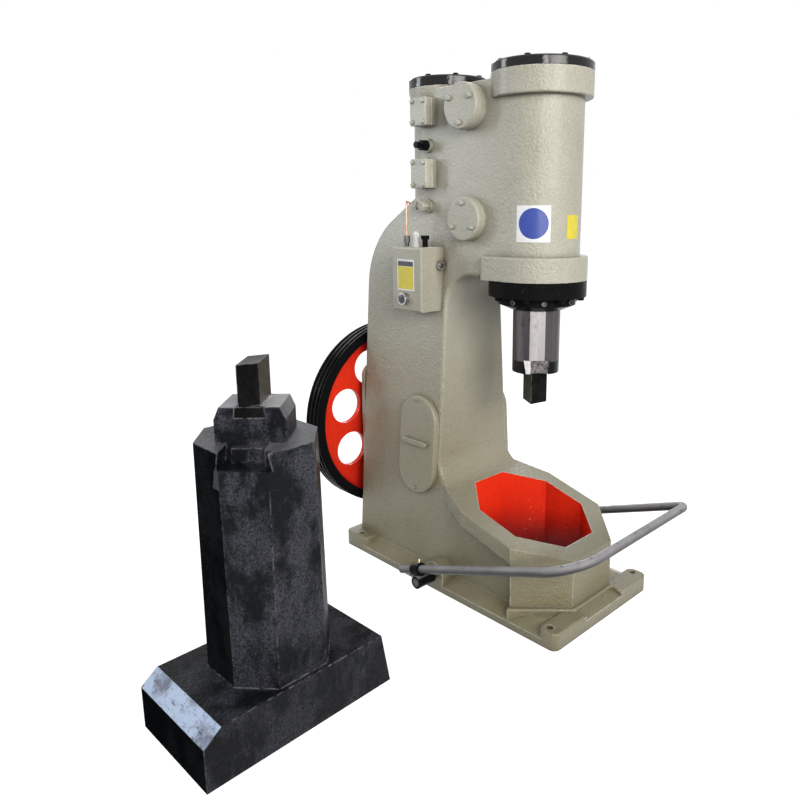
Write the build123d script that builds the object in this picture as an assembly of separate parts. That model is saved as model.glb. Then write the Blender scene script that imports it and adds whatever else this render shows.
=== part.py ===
from build123d import *
from math import atan2, cos, degrees, radians, sin, sqrt, tan
import os

os.makedirs("parts", exist_ok=True)

# Fits, seats and cutting
OVERRUN = 20
SLIDE_FIT = 0.3
RUNNING_FIT = 0.1
PRESS_FIT = 0.05

# Foundation bolts and base plate, with the origin at the middle of the bolt pattern on the floor
BOLT_SPACING_X = 848
BOLT_SPACING_Y = 436
BOLT_HOLE_R = 11
FRONT_BOLT_INSET = 40
REAR_BOLT_INSET = 66
SIDE_BOLT_INSET = 25
PAD_HEIGHT = 52
FRONT_PAD_LENGTH = 65
REAR_PAD_LENGTH = 114
PAD_WIDTH = 150
PAD_CORNER_R = 22
LEDGE_EDGE_HEIGHT = 22
LEDGE_TOP_HEIGHT = 46
VALLEY_DROP = 12
CAST_EDGE_R = 5

# Column, which narrows upwards on both flanks
RAM_SETBACK = 284
THROAT_DEPTH = 255
COLUMN_DEPTH = 395
COLUMN_FOOT_WIDTH = 388
COLUMN_DRAFT_SHARE = 0.068
COLUMN_EDGE_R = 12
SHOULDER_DROP = 48
SHOULDER_R = 256
SHOULDER_TURN = 57
THROAT_HEIGHT = 998
THROAT_TOP_R = 96
THROAT_FOOT_R = 90
NECK_RISE = 6

# Ram cylinder and compressor cylinder with the neck between them
HEAD_HEIGHT = 602
RAM_CYLINDER_R = 122.4
RAM_FLANGE_R = 146.5
RAM_FLANGE_HEIGHT = 69
RAM_CAP_THICKNESS = 26
FOOT_FLANGE_HEIGHT = 70
FOOT_FLANGE_REACH = 105
FOOT_FLANGE_CORNER_R = 15
CYLINDER_SPACING = 372
COMPRESSOR_R = 112
COMPRESSOR_FLANGE_R = 129
COMPRESSOR_FLARE_HEIGHT = 105
COMPRESSOR_CAP_THICKNESS = 30
COMPRESSOR_CAP_DROP = 3
NECK_TOP_DROP = 42
CAP_EDGE = 4

# Well that the anvil stands in, with a rim that slopes down to the front
RIM_HEIGHT = 270
RIM_SLOPE_SHARE = 0.27
WELL_HALF_LENGTH = 235
WELL_HALF_WIDTH = 225
WELL_CUT_X = 133
WELL_CUT_Y = 128
OPENING_HALF_LENGTH = 184
OPENING_HALF_WIDTH = 167
OPENING_CUT_X = 111
OPENING_CUT_Y = 98
LIP_THICKNESS = 50
SKIRT_REACH = 13
SKIRT_HEIGHT = 57

# Ram, gland and upper die
RAM_R = 70.8
RAM_FOOT_HEIGHT = 719
RAM_STROKE = 180
PISTON_R = 92
PISTON_LENGTH = 120
PISTON_HEADROOM = 154
FLAT_OFFSET_SHARE = 0.94
FLAT_AZIMUTH = -47
SIDE_FLAT_OFFSET_SHARE = 0.965
SIDE_FLAT_TURN = 30
GLAND_FLANGE_R = 146
GLAND_FLANGE_THICKNESS = 48
GLAND_RING_R = 115
GLAND_RING_THICKNESS = 40
GLAND_RING_FOOT_R = 80
GLAND_CONE_HEIGHT = 15
DIE_DROP = 95
UPPER_DIE_LENGTH = 71
UPPER_DIE_WIDTH = 62
UPPER_DIE_SIDE_AZIMUTH = 149
UPPER_DIE_END_AZIMUTH = 79
RAM_SLOT_DEPTH = 42
RAM_SLOT_MOUTH = 66
SLOT_FLARE_SHARE = 0.16
WEDGE_THICKNESS = 14
WEDGE_PROUD = 12

# Crankshaft, rear bearing and flywheel
SHAFT_HEIGHT = 447
SHAFT_R = 32
SHAFT_DEPTH = 150
SHAFT_END_PROUD = 14
BEARING_COVER_WIDTH = 309
BEARING_COVER_LENGTH = 416
BEARING_COVER_CORNER_R = 40
BEARING_COVER_THICKNESS = 15
BEARING_NOSE_R = 78
BEARING_NOSE_LENGTH = 8
FLYWHEEL_R = 343
FLYWHEEL_GAP = 6
RIM_WIDTH = 66
RIM_DEPTH = 34
GROOVE_COUNT = 3
GROOVE_DEPTH = 14
GROOVE_MOUTH_SHARE = 0.62
GROOVE_FLOOR_SHARE = 0.5
WEB_THICKNESS = 20
WEB_SETBACK = 12
HUB_R = 68
HUB_LENGTH = 84
WEB_HOLE_COUNT = 8
WEB_HOLE_R = 62
WEB_HOLE_CIRCLE_R = 215
WEB_HOLE_START = 28.5

# Round valve covers, square port covers and fittings, with places up the head as shares of its height
COVER_X_SETBACK = 165
COVER_R = 64.5
COVER_BOSS_PROUD = 8
COVER_EDGE_R = 5
UPPER_COVER_PLACE_SHARE = 0.817
UPPER_COVER_THICKNESS = 36
LOWER_COVER_PLACE_SHARE = 0.291
LOWER_COVER_THICKNESS = 24
PORT_X_SETBACK = 350
PORT_WIDTH = 70
PORT_BOSS_PROUD = 3
PORT_THICKNESS = 26
PORT_EDGE_R = 5
UPPER_PORT_PLACE_SHARE = 0.817
UPPER_PORT_LENGTH = 82
LOWER_PORT_PLACE_SHARE = 0.515
LOWER_PORT_LENGTH = 88
FITTING_BOSS_R = 21
FITTING_BOSS_PROUD = 11
VALVE_PLACE_SHARE = 0.656
VALVE_HEX_R = 17
VALVE_HEX_LENGTH = 22
VALVE_NECK_R = 7.5
VALVE_NECK_LENGTH = 8
VALVE_END_R = 10
VALVE_END_LENGTH = 14
FITTING_PLACE_SHARE = 0.352
FITTING_NUT_R = 16
FITTING_NUT_LENGTH = 26
FITTING_ARM_R = 8
FITTING_ARM_LENGTH = 27
FITTING_END_R = 13
FITTING_END_LENGTH = 15

# Oil box with what stands on it
OIL_BOX_SETBACK = 343
OIL_BOX_LENGTH = 136
OIL_BOX_FACE = 218
OIL_BOX_DROP = 109
OIL_BOX_HEIGHT = 198
OIL_BOX_EDGE_R = 6
OIL_TOP_SPACING = 42
OIL_TOP_FACE_INSET = 42
DOME_NUT_R = 13
DOME_NUT_HEIGHT = 7
DOME_R = 9.5
DOME_HEIGHT = 47
DOME_ROUND_SHARE = 0.9
KNOB_STEM_R = 8.5
KNOB_STEM_HEIGHT = 23
KNOB_R = 13
KNOB_HEAD_HEIGHT = 12
FERRULE_NECK_R = 7
FERRULE_NECK_HEIGHT = 11
FERRULE_NUT_R = 10
FERRULE_NUT_HEIGHT = 21
OIL_PIPE_R = 3
OIL_PIPE_RISE = 106
OIL_PIPE_BEND_R = 16
OIL_PIPE_RUN_BACK = 82
OIL_PIPE_RUN_IN = 86
SIGHT_R = 20
SIGHT_LENGTH = 14
SIGHT_HEIGHT = 38
SIGHT_OFFSET = 9
SIDE_PLUG_R = 13
SIDE_PLUG_LENGTH = 14
SIDE_PLUG_HEIGHT = 141
SIDE_PLUG_FACE_INSET = 75

# Inspection covers on both flanks
INSPECTION_SETBACK = 346
INSPECTION_DROP = 8
INSPECTION_WIDTH = 169
INSPECTION_LENGTH = 330
INSPECTION_THICKNESS = 20
INSPECTION_EDGE_R = 7
HANDLE_LENGTH = 111
HANDLE_WIDTH = 16
HANDLE_PROUD = 13
HANDLE_RAISE = 10

# Treadle
PIVOT_SETBACK = 205
PIVOT_HEIGHT = 50
PIVOT_SHAFT_R = 12.5
LUG_R = 42
TREADLE_TILT = 19.9
TREADLE_TUBE_R = 13.4
TREADLE_TUBE_WALL = 2.6
TREADLE_SIDE_GAP = 33
TREADLE_REACH = 630
TREADLE_TAIL = 82
TREADLE_NEAR_R = 115
TREADLE_FAR_R = 32
CLAMP_OFFSET = 36
CLAMP_RING_R = 21
CLAMP_RING_LENGTH = 34
CLAMP_EYE_R = 20
CLAMP_GAP = 8

# Anvil, which stands by itself beside the hammer
ANVIL_SETBACK = 96
ANVIL_OFFSET = 895
ANVIL_TURN = 1.7
ANVIL_BASE_LENGTH = 296
ANVIL_BASE_WIDTH = 513
ANVIL_BASE_HEIGHT = 139
ANVIL_BASE_CUT = 42
ANVIL_BASE_CUT_DROP = 33
ANVIL_BASE_LEAN = 26
ANVIL_HALF_LENGTH = 136
ANVIL_HALF_WIDTH = 130
ANVIL_CUT_X = 84
ANVIL_CUT_Y = 71
ANVIL_FOOT_SPREAD_X = 10
ANVIL_FOOT_SPREAD_Y = 9
ANVIL_HEIGHT = 697
ANVIL_SLOT_DEPTH = 78
ANVIL_SLOT_MOUTH = 108
ANVIL_SLOT_AZIMUTH = 135
ANVIL_WEDGE_PROUD = 48
CAP_BLOCK_WIDTH = 158
CAP_BLOCK_LENGTH = 117
CAP_BLOCK_HEIGHT = 81
CAP_BLOCK_CUT_WIDTH = 12
CAP_BLOCK_CUT_HEIGHT = 28
CAP_SLOT_DEPTH = 24
CAP_SLOT_MOUTH = 62
LOWER_DIE_TOP = 95
LOWER_DIE_LENGTH = 100
LOWER_DIE_WIDTH = 49
LOWER_DIE_SIDE_AZIMUTH = 134
LOWER_DIE_END_AZIMUTH = 73

# Places that follow from the sizes above
BASE_FRONT = BOLT_SPACING_X / 2 + FRONT_BOLT_INSET
BASE_REAR = -BOLT_SPACING_X / 2 - REAR_BOLT_INSET
BASE_HALF_WIDTH = BOLT_SPACING_Y / 2 + SIDE_BOLT_INSET
RAM_X = BASE_FRONT - RAM_SETBACK
COLUMN_FRONT = RAM_X - THROAT_DEPTH
COLUMN_REAR = COLUMN_FRONT - COLUMN_DEPTH
COMPRESSOR_X = RAM_X - CYLINDER_SPACING
TOTAL_HEIGHT = THROAT_HEIGHT + HEAD_HEIGHT
SHOULDER_START = THROAT_HEIGHT - SHOULDER_DROP
RAM_CAP_BASE = TOTAL_HEIGHT - RAM_CAP_THICKNESS
COMPRESSOR_CAP_TOP = TOTAL_HEIGHT - COMPRESSOR_CAP_DROP
COMPRESSOR_CAP_BASE = COMPRESSOR_CAP_TOP - COMPRESSOR_CAP_THICKNESS
NECK_TOP = TOTAL_HEIGHT - NECK_TOP_DROP
NECK_BASE = THROAT_HEIGHT + NECK_RISE
GLAND_BASE = THROAT_HEIGHT - GLAND_FLANGE_THICKNESS
RING_BASE = GLAND_BASE - GLAND_RING_THICKNESS
PISTON_TOP = RAM_CAP_BASE - PISTON_HEADROOM - RAM_STROKE
PIVOT_X = RAM_X - PIVOT_SETBACK
TREADLE_HALF_SPAN = BASE_HALF_WIDTH + TREADLE_SIDE_GAP + CLAMP_RING_R
COVER_X = RAM_X - COVER_X_SETBACK
COVER_SEAT = RAM_CYLINDER_R + COVER_BOSS_PROUD
PORT_X = RAM_X - PORT_X_SETBACK
PORT_SEAT = COMPRESSOR_FLANGE_R + PORT_BOSS_PROUD
FITTING_SEAT = COMPRESSOR_R + FITTING_BOSS_PROUD
UPPER_COVER_HEIGHT = THROAT_HEIGHT + HEAD_HEIGHT * UPPER_COVER_PLACE_SHARE
LOWER_COVER_HEIGHT = THROAT_HEIGHT + HEAD_HEIGHT * LOWER_COVER_PLACE_SHARE
UPPER_PORT_HEIGHT = THROAT_HEIGHT + HEAD_HEIGHT * UPPER_PORT_PLACE_SHARE
LOWER_PORT_HEIGHT = THROAT_HEIGHT + HEAD_HEIGHT * LOWER_PORT_PLACE_SHARE
VALVE_HEIGHT = THROAT_HEIGHT + HEAD_HEIGHT * VALVE_PLACE_SHARE
FITTING_HEIGHT = THROAT_HEIGHT + HEAD_HEIGHT * FITTING_PLACE_SHARE
INSPECTION_HEIGHT = SHAFT_HEIGHT - INSPECTION_DROP
FLANK_LEAN = degrees(atan2(COLUMN_DRAFT_SHARE, 1))


def half_width(height):
    return COLUMN_FOOT_WIDTH / 2 - COLUMN_DRAFT_SHARE * height


def rim_height(x):
    return RIM_HEIGHT - RIM_SLOPE_SHARE * (x - RAM_X)


def outline(*points):
    return make_face(Polyline(*points, close=True))


def side_slab(face, half):
    """A face drawn in X and Z, thickened to both sides of the middle plane."""
    return extrude(Plane.XZ * face, amount=half, both=True)


def upright(face, bottom, top):
    return extrude(Pos(0, 0, bottom) * face, amount=top - bottom)


def octagon(half_x, half_y, cut_x, cut_y):
    near_x = half_x - cut_x
    near_y = half_y - cut_y
    return outline(
        (half_x, -near_y), (half_x, near_y), (near_x, half_y), (-near_x, half_y),
        (-half_x, near_y), (-half_x, -near_y), (-near_x, -half_y), (near_x, -half_y),
    )


def tapered_plan(front_x, front_r, rear_x, rear_r):
    """Two circles joined by their outer tangents."""
    lean = (rear_r - front_r) / (front_x - rear_x)
    spread = sqrt(1 - lean**2)
    flanks = outline(
        (front_x + front_r * lean, front_r * spread), (rear_x + rear_r * lean, rear_r * spread),
        (rear_x + rear_r * lean, -rear_r * spread), (front_x + front_r * lean, -front_r * spread),
    )
    return flanks + Pos(front_x, 0) * Circle(front_r) + Pos(rear_x, 0) * Circle(rear_r)


def flank_plane(x, height, side):
    """A plane on the leaning flank; side is -1 on the right and 1 on the left."""
    lean = radians(FLANK_LEAN)
    return Plane(
        origin=(x, side * half_width(height), height),
        x_dir=(-side, 0, 0),
        z_dir=(0, side * cos(lean), sin(lean)),
    )


def flank_envelope():
    """Everything between the two leaning flanks, from the floor to above the machine."""
    top = TOTAL_HEIGHT + OVERRUN
    section = outline(
        (-half_width(0), 0), (half_width(0), 0), (half_width(top), top), (-half_width(top), top)
    )
    length = BASE_FRONT - BASE_REAR
    return extrude(Plane.YZ.offset(BASE_REAR) * section, amount=length)


def base_plate():
    """A plate with four bolt pads and ledges that slope down to its edge between them."""
    length = BASE_FRONT - BASE_REAR
    wall = half_width(LEDGE_TOP_HEIGHT)
    section = outline(
        (-BASE_HALF_WIDTH, 0), (BASE_HALF_WIDTH, 0), (BASE_HALF_WIDTH, LEDGE_EDGE_HEIGHT),
        (wall, LEDGE_TOP_HEIGHT), (-wall, LEDGE_TOP_HEIGHT), (-BASE_HALF_WIDTH, LEDGE_EDGE_HEIGHT),
    )
    plate = extrude(Plane.YZ.offset(BASE_REAR) * section, amount=length)
    well_front = RAM_X + WELL_HALF_LENGTH
    valley_half = BASE_HALF_WIDTH - PAD_WIDTH
    valley = outline(
        (well_front, LEDGE_TOP_HEIGHT), (BASE_FRONT, LEDGE_TOP_HEIGHT),
        (BASE_FRONT, LEDGE_TOP_HEIGHT - VALLEY_DROP),
    )
    plate -= side_slab(valley, valley_half)
    for side in (-1, 1):
        y = side * (BASE_HALF_WIDTH - PAD_WIDTH / 2)
        for x, pad_length in (
            (BASE_FRONT - FRONT_PAD_LENGTH / 2, FRONT_PAD_LENGTH),
            (BASE_REAR + REAR_PAD_LENGTH / 2, REAR_PAD_LENGTH),
        ):
            plan = Pos(x, y) * RectangleRounded(pad_length, PAD_WIDTH, PAD_CORNER_R)
            pad = upright(plan, 0, PAD_HEIGHT)
            plate += fillet(pad.edges().group_by(Axis.Z)[-1], CAST_EDGE_R)
    middle = (BASE_FRONT + BASE_REAR) / 2
    bounds = Pos(middle, 0) * RectangleRounded(length, 2 * BASE_HALF_WIDTH, PAD_CORNER_R)
    return plate & upright(bounds, 0, PAD_HEIGHT)


def column():
    """The C of the frame: one side profile with both throat curves, between flanks that lean in."""
    turn = radians(SHOULDER_TURN)
    centre_x = COLUMN_REAR + SHOULDER_R
    leave = (centre_x - SHOULDER_R * cos(turn), SHOULDER_START + SHOULDER_R * sin(turn))
    slope = tan(radians(90 - SHOULDER_TURN))
    top = leave[1] + slope * (COMPRESSOR_X - leave[0])
    throat_head = (COLUMN_FRONT, NECK_BASE)
    throat_foot = (COLUMN_FRONT, rim_height(COLUMN_FRONT))
    back = Line((COLUMN_REAR, 0), (COLUMN_REAR, SHOULDER_START))
    shoulder = TangentArc(back @ 1, leave, tangent=(0, 1))
    rest = Polyline(
        leave, (COMPRESSOR_X, top), (RAM_X, top), (RAM_X, NECK_BASE), throat_head, throat_foot,
        (RAM_X, rim_height(RAM_X)), (RAM_X, 0), (COLUMN_REAR, 0),
    )
    profile = make_face([back, shoulder, *rest.edges()])
    for corner, radius in ((throat_head, THROAT_TOP_R), (throat_foot, THROAT_FOOT_R)):
        profile = fillet(profile.vertices().sort_by_distance(corner)[0], radius)
    post = side_slab(profile, BASE_HALF_WIDTH) & flank_envelope()
    return fillet(post.edges().filter_by(is_flank_edge), COLUMN_EDGE_R)


def is_flank_edge(edge):
    """True where an edge of the C shows on a flank, and not inside the head, the pit or the base."""
    middle = edge.center()
    along_flank = abs(edge.tangent_at(0).Y) < abs(edge.tangent_at(0).X) + abs(edge.tangent_at(0).Z)
    shows = middle.X < COMPRESSOR_X or middle.Z < NECK_BASE + OVERRUN
    return along_flank and shows and middle.Z > OVERRUN and abs(middle.X - RAM_X) > OVERRUN


def foot_flange():
    """The flange under the ram cylinder: round in front, square behind, where it steps into the neck."""
    rear = -FOOT_FLANGE_REACH
    front = ThreePointArc((0, -RAM_FLANGE_R), (RAM_FLANGE_R, 0), (0, RAM_FLANGE_R))
    sides = Polyline((0, RAM_FLANGE_R), (rear, RAM_FLANGE_R), (rear, -RAM_FLANGE_R), (0, -RAM_FLANGE_R))
    plan = make_face([front, *sides.edges()])
    plan = fillet(plan.vertices().group_by(Axis.X)[0], FOOT_FLANGE_CORNER_R)
    flange = upright(Pos(RAM_X, 0) * plan, THROAT_HEIGHT, THROAT_HEIGHT + FOOT_FLANGE_HEIGHT)
    return fillet(flange.edges().group_by(Axis.Z)[-1], CAST_EDGE_R)


def neck_and_cylinders():
    """Two cylinders side by side, joined by a neck that follows both."""
    neck = tapered_plan(RAM_X, RAM_CYLINDER_R, COMPRESSOR_X, COMPRESSOR_R)
    body = upright(neck, NECK_BASE, NECK_TOP) + foot_flange()
    body += upright(Pos(RAM_X, 0) * Circle(RAM_CYLINDER_R), THROAT_HEIGHT, RAM_CAP_BASE)
    ram_flange = upright(Pos(RAM_X, 0) * Circle(RAM_FLANGE_R), RAM_CAP_BASE - RAM_FLANGE_HEIGHT, RAM_CAP_BASE)
    body += fillet(ram_flange.edges().group_by(Axis.Z)[0], CAST_EDGE_R)
    body += upright(Pos(COMPRESSOR_X, 0) * Circle(COMPRESSOR_R), NECK_BASE, COMPRESSOR_CAP_BASE)
    flare = Cone(COMPRESSOR_R, COMPRESSOR_FLANGE_R, COMPRESSOR_FLARE_HEIGHT)
    return body + Pos(COMPRESSOR_X, 0, COMPRESSOR_CAP_BASE - COMPRESSOR_FLARE_HEIGHT / 2) * flare


def well_plan():
    """Eight-sided about the pit, with its rear corners drawn in to the edges of the column."""
    near_x = WELL_HALF_LENGTH - WELL_CUT_X
    near_y = WELL_HALF_WIDTH - WELL_CUT_Y
    rear = -THROAT_DEPTH - COLUMN_EDGE_R
    waist = half_width(rim_height(COLUMN_FRONT)) - COLUMN_EDGE_R
    return Pos(RAM_X, 0) * outline(
        (WELL_HALF_LENGTH, -near_y), (WELL_HALF_LENGTH, near_y), (near_x, WELL_HALF_WIDTH),
        (-near_x, WELL_HALF_WIDTH), (rear, waist), (rear, -waist), (-near_x, -WELL_HALF_WIDTH),
        (near_x, -WELL_HALF_WIDTH),
    )


def well():
    """The mouth of the anvil pit, whose lip stands over the set-back flanks."""
    plan = well_plan()
    rear = COLUMN_FRONT - COLUMN_EDGE_R
    front = RAM_X + WELL_HALF_LENGTH
    below_rim = outline((rear, 0), (front, 0), (front, rim_height(front)), (rear, rim_height(rear)))
    mouth = upright(plan, 0, THROAT_HEIGHT) & side_slab(below_rim, WELL_HALF_WIDTH)
    rim = mouth.faces().filter_by(lambda face: face.normal_at().Z > RIM_SLOPE_SHARE)
    mouth = fillet(rim[0].edges(), CAST_EDGE_R)
    shoulder = front - WELL_CUT_X
    behind = rear - OVERRUN
    under_lip = outline(
        (behind, 0), (shoulder, 0), (shoulder, rim_height(shoulder) - LIP_THICKNESS),
        (behind, rim_height(behind) - LIP_THICKNESS),
    )
    mouth -= side_slab(under_lip, WELL_HALF_WIDTH + OVERRUN) - flank_envelope()
    skirt = upright(offset(plan, amount=SKIRT_REACH, kind=Kind.INTERSECTION), 0, SKIRT_HEIGHT)
    skirt = fillet(skirt.edges().group_by(Axis.Z)[-1], SKIRT_REACH / 2)
    ahead = Pos(shoulder + WELL_CUT_X, 0) * Rectangle(2 * WELL_CUT_X, 2 * BASE_HALF_WIDTH)
    return mouth + (skirt & upright(ahead, 0, SKIRT_HEIGHT))


def pivot_lugs():
    lug = Pos(PIVOT_X, PIVOT_HEIGHT / 2) * Rectangle(2 * LUG_R, PIVOT_HEIGHT)
    lug += Pos(PIVOT_X, PIVOT_HEIGHT) * Circle(LUG_R)
    return side_slab(lug, BASE_HALF_WIDTH) - side_slab(lug, half_width(PIVOT_HEIGHT + LUG_R))


def cover_bosses():
    """Machined seats on both flanks of the neck, and the port and fitting seats on the right."""
    bosses = []
    for height in (UPPER_COVER_HEIGHT, LOWER_COVER_HEIGHT):
        bosses.append(side_slab(Pos(COVER_X, height) * Circle(COVER_R), COVER_SEAT))
    for height, length in ((UPPER_PORT_HEIGHT, UPPER_PORT_LENGTH), (LOWER_PORT_HEIGHT, LOWER_PORT_LENGTH)):
        seat = Pos(PORT_X, height) * RectangleRounded(PORT_WIDTH, length, PORT_EDGE_R)
        bosses.append(extrude(Plane.XZ * seat, amount=PORT_SEAT))
    for height in (VALVE_HEIGHT, FITTING_HEIGHT):
        bosses.append(extrude(Plane.XZ * Pos(PORT_X, height) * Circle(FITTING_BOSS_R), amount=FITTING_SEAT))
    return bosses


def frame_casting():
    body = base_plate() + column() + neck_and_cylinders() + well() + pivot_lugs()
    body += cover_bosses()
    opening = octagon(OPENING_HALF_LENGTH, OPENING_HALF_WIDTH, OPENING_CUT_X, OPENING_CUT_Y)
    body -= upright(Pos(RAM_X, 0) * opening, -OVERRUN, THROAT_HEIGHT - THROAT_TOP_R - OVERRUN)
    cylinder_bore = Pos(RAM_X, 0) * Circle(PISTON_R + SLIDE_FIT)
    body -= upright(cylinder_bore, THROAT_HEIGHT - OVERRUN, RAM_CAP_BASE + OVERRUN)
    pivot_bore = Pos(PIVOT_X, PIVOT_HEIGHT) * Circle(PIVOT_SHAFT_R + RUNNING_FIT)
    body -= side_slab(pivot_bore, BASE_HALF_WIDTH + OVERRUN)
    journal = Pos(0, SHAFT_HEIGHT) * Circle(SHAFT_R + RUNNING_FIT)
    body -= extrude(Plane.YZ.offset(COLUMN_REAR) * journal, amount=SHAFT_DEPTH)
    for x in (-BOLT_SPACING_X / 2, BOLT_SPACING_X / 2):
        for y in (-BOLT_SPACING_Y / 2, BOLT_SPACING_Y / 2):
            body -= upright(Pos(x, y) * Circle(BOLT_HOLE_R), -OVERRUN, PAD_HEIGHT + OVERRUN)
    return body


def round_cap(x, radius, base, top):
    disc = upright(Pos(x, 0) * Circle(radius), base, top)
    return chamfer(disc.edges().group_by(Axis.Z)[-1], CAP_EDGE)


def gland_flange():
    ring = Circle(GLAND_FLANGE_R) - Circle(RAM_R + SLIDE_FIT)
    return upright(Pos(RAM_X, 0) * ring, GLAND_BASE, THROAT_HEIGHT)


def gland_ring():
    """The packing ring, turned to a cone at its foot."""
    bore = RAM_R + SLIDE_FIT
    section = outline(
        (bore, RING_BASE), (GLAND_RING_FOOT_R, RING_BASE), (GLAND_RING_R, RING_BASE + GLAND_CONE_HEIGHT),
        (GLAND_RING_R, GLAND_BASE), (bore, GLAND_BASE),
    )
    return Pos(RAM_X, 0) * revolve(Plane.XZ * section, Axis.Z, 360)


def slot_section(mouth, depth):
    """A dovetail slot seen along its length, open at zero and wider at its floor."""
    flare = depth * SLOT_FLARE_SHARE
    return outline((-mouth / 2, 0), (mouth / 2, 0), (mouth / 2 + flare, depth), (-mouth / 2 - flare, depth))


def tenon_section(mouth, depth):
    flare = depth * SLOT_FLARE_SHARE
    split = mouth / 2 - WEDGE_THICKNESS
    return outline((-mouth / 2, 0), (split, 0), (split, depth), (-mouth / 2 - flare, depth))


def wedge_section(mouth, depth):
    flare = depth * SLOT_FLARE_SHARE
    split = mouth / 2 - WEDGE_THICKNESS
    return outline((split, 0), (mouth / 2, 0), (mouth / 2 + flare, depth), (split, depth))


def slot_plane(x, y, height, azimuth, up):
    """A plane across a slot that runs along an azimuth; its own Y points into the slot."""
    along = Vector(cos(radians(azimuth)), sin(radians(azimuth)), 0)
    inward = Vector(0, 0, up)
    return Plane(origin=(x, y, height), x_dir=inward.cross(along), z_dir=along)


def die_block(length, width, side_azimuth, end_azimuth):
    side = Vector(cos(radians(side_azimuth)), sin(radians(side_azimuth))) * (length / 2)
    end = Vector(cos(radians(end_azimuth)), sin(radians(end_azimuth))) * (width / 2)
    corners = [side + end, side - end, side * -1 - end, end - side]
    return outline(*[(corner.X, corner.Y) for corner in corners])


RAM_SLOT = slot_plane(RAM_X, 0, RAM_FOOT_HEIGHT, FLAT_AZIMUTH + 180, 1)
RAM_SLOT_HALF_FLOOR = RAM_SLOT_MOUTH / 2 + RAM_SLOT_DEPTH * SLOT_FLARE_SHARE
RAM_SLOT_CHORD = sqrt(RAM_R**2 - RAM_SLOT_HALF_FLOOR**2)


def ram():
    bar = upright(Pos(RAM_X, 0) * Circle(RAM_R), RAM_FOOT_HEIGHT, PISTON_TOP)
    for azimuth, share in (
        (FLAT_AZIMUTH, FLAT_OFFSET_SHARE),
        (FLAT_AZIMUTH + SIDE_FLAT_TURN, SIDE_FLAT_OFFSET_SHARE),
        (FLAT_AZIMUTH + 180, FLAT_OFFSET_SHARE),
    ):
        waste = Pos(RAM_R * share + RAM_R / 2, 0) * Rectangle(RAM_R, 2 * RAM_R)
        turned = Pos(RAM_X, 0) * Rot(0, 0, azimuth) * waste
        bar -= upright(turned, RAM_FOOT_HEIGHT - OVERRUN, PISTON_TOP + OVERRUN)
    bar += upright(Pos(RAM_X, 0) * Circle(PISTON_R), PISTON_TOP - PISTON_LENGTH, PISTON_TOP)
    slot = RAM_SLOT * slot_section(RAM_SLOT_MOUTH, RAM_SLOT_DEPTH)
    return bar - extrude(slot, amount=RAM_R + OVERRUN, both=True)


def upper_die():
    plan = die_block(UPPER_DIE_LENGTH, UPPER_DIE_WIDTH, UPPER_DIE_SIDE_AZIMUTH, UPPER_DIE_END_AZIMUTH)
    block = upright(Pos(RAM_X, 0) * plan, RAM_FOOT_HEIGHT - DIE_DROP, RAM_FOOT_HEIGHT)
    tenon = RAM_SLOT * tenon_section(RAM_SLOT_MOUTH, RAM_SLOT_DEPTH)
    return block + extrude(tenon, amount=RAM_SLOT_CHORD - WEDGE_PROUD, both=True)


def upper_die_wedge():
    """It stays within the ram's outline, so that it can follow the ram into the gland."""
    section = RAM_SLOT * wedge_section(RAM_SLOT_MOUTH, RAM_SLOT_DEPTH)
    return extrude(section, amount=RAM_SLOT_CHORD, both=True)


def shaft_plane(x):
    return Plane.YZ.offset(x) * Pos(0, SHAFT_HEIGHT)


COVER_BACK = COLUMN_REAR - BEARING_COVER_THICKNESS
WHEEL_FRONT = COVER_BACK - BEARING_NOSE_LENGTH - FLYWHEEL_GAP
HUB_REAR = WHEEL_FRONT - HUB_LENGTH


def rear_bearing_cover():
    """A plate that closes the back of the column, with a round nose about the shaft."""
    bore = Circle(SHAFT_R + RUNNING_FIT)
    plate = RectangleRounded(BEARING_COVER_WIDTH, BEARING_COVER_LENGTH, BEARING_COVER_CORNER_R) - bore
    nose = Circle(BEARING_NOSE_R) - bore
    cover = extrude(shaft_plane(COVER_BACK) * plate, amount=BEARING_COVER_THICKNESS)
    return cover + extrude(shaft_plane(COVER_BACK) * nose, amount=-BEARING_NOSE_LENGTH)


def crankshaft():
    start = COLUMN_REAR + SHAFT_DEPTH
    end = HUB_REAR - SHAFT_END_PROUD
    return extrude(shaft_plane(end) * Circle(SHAFT_R), amount=start - end)


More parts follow.
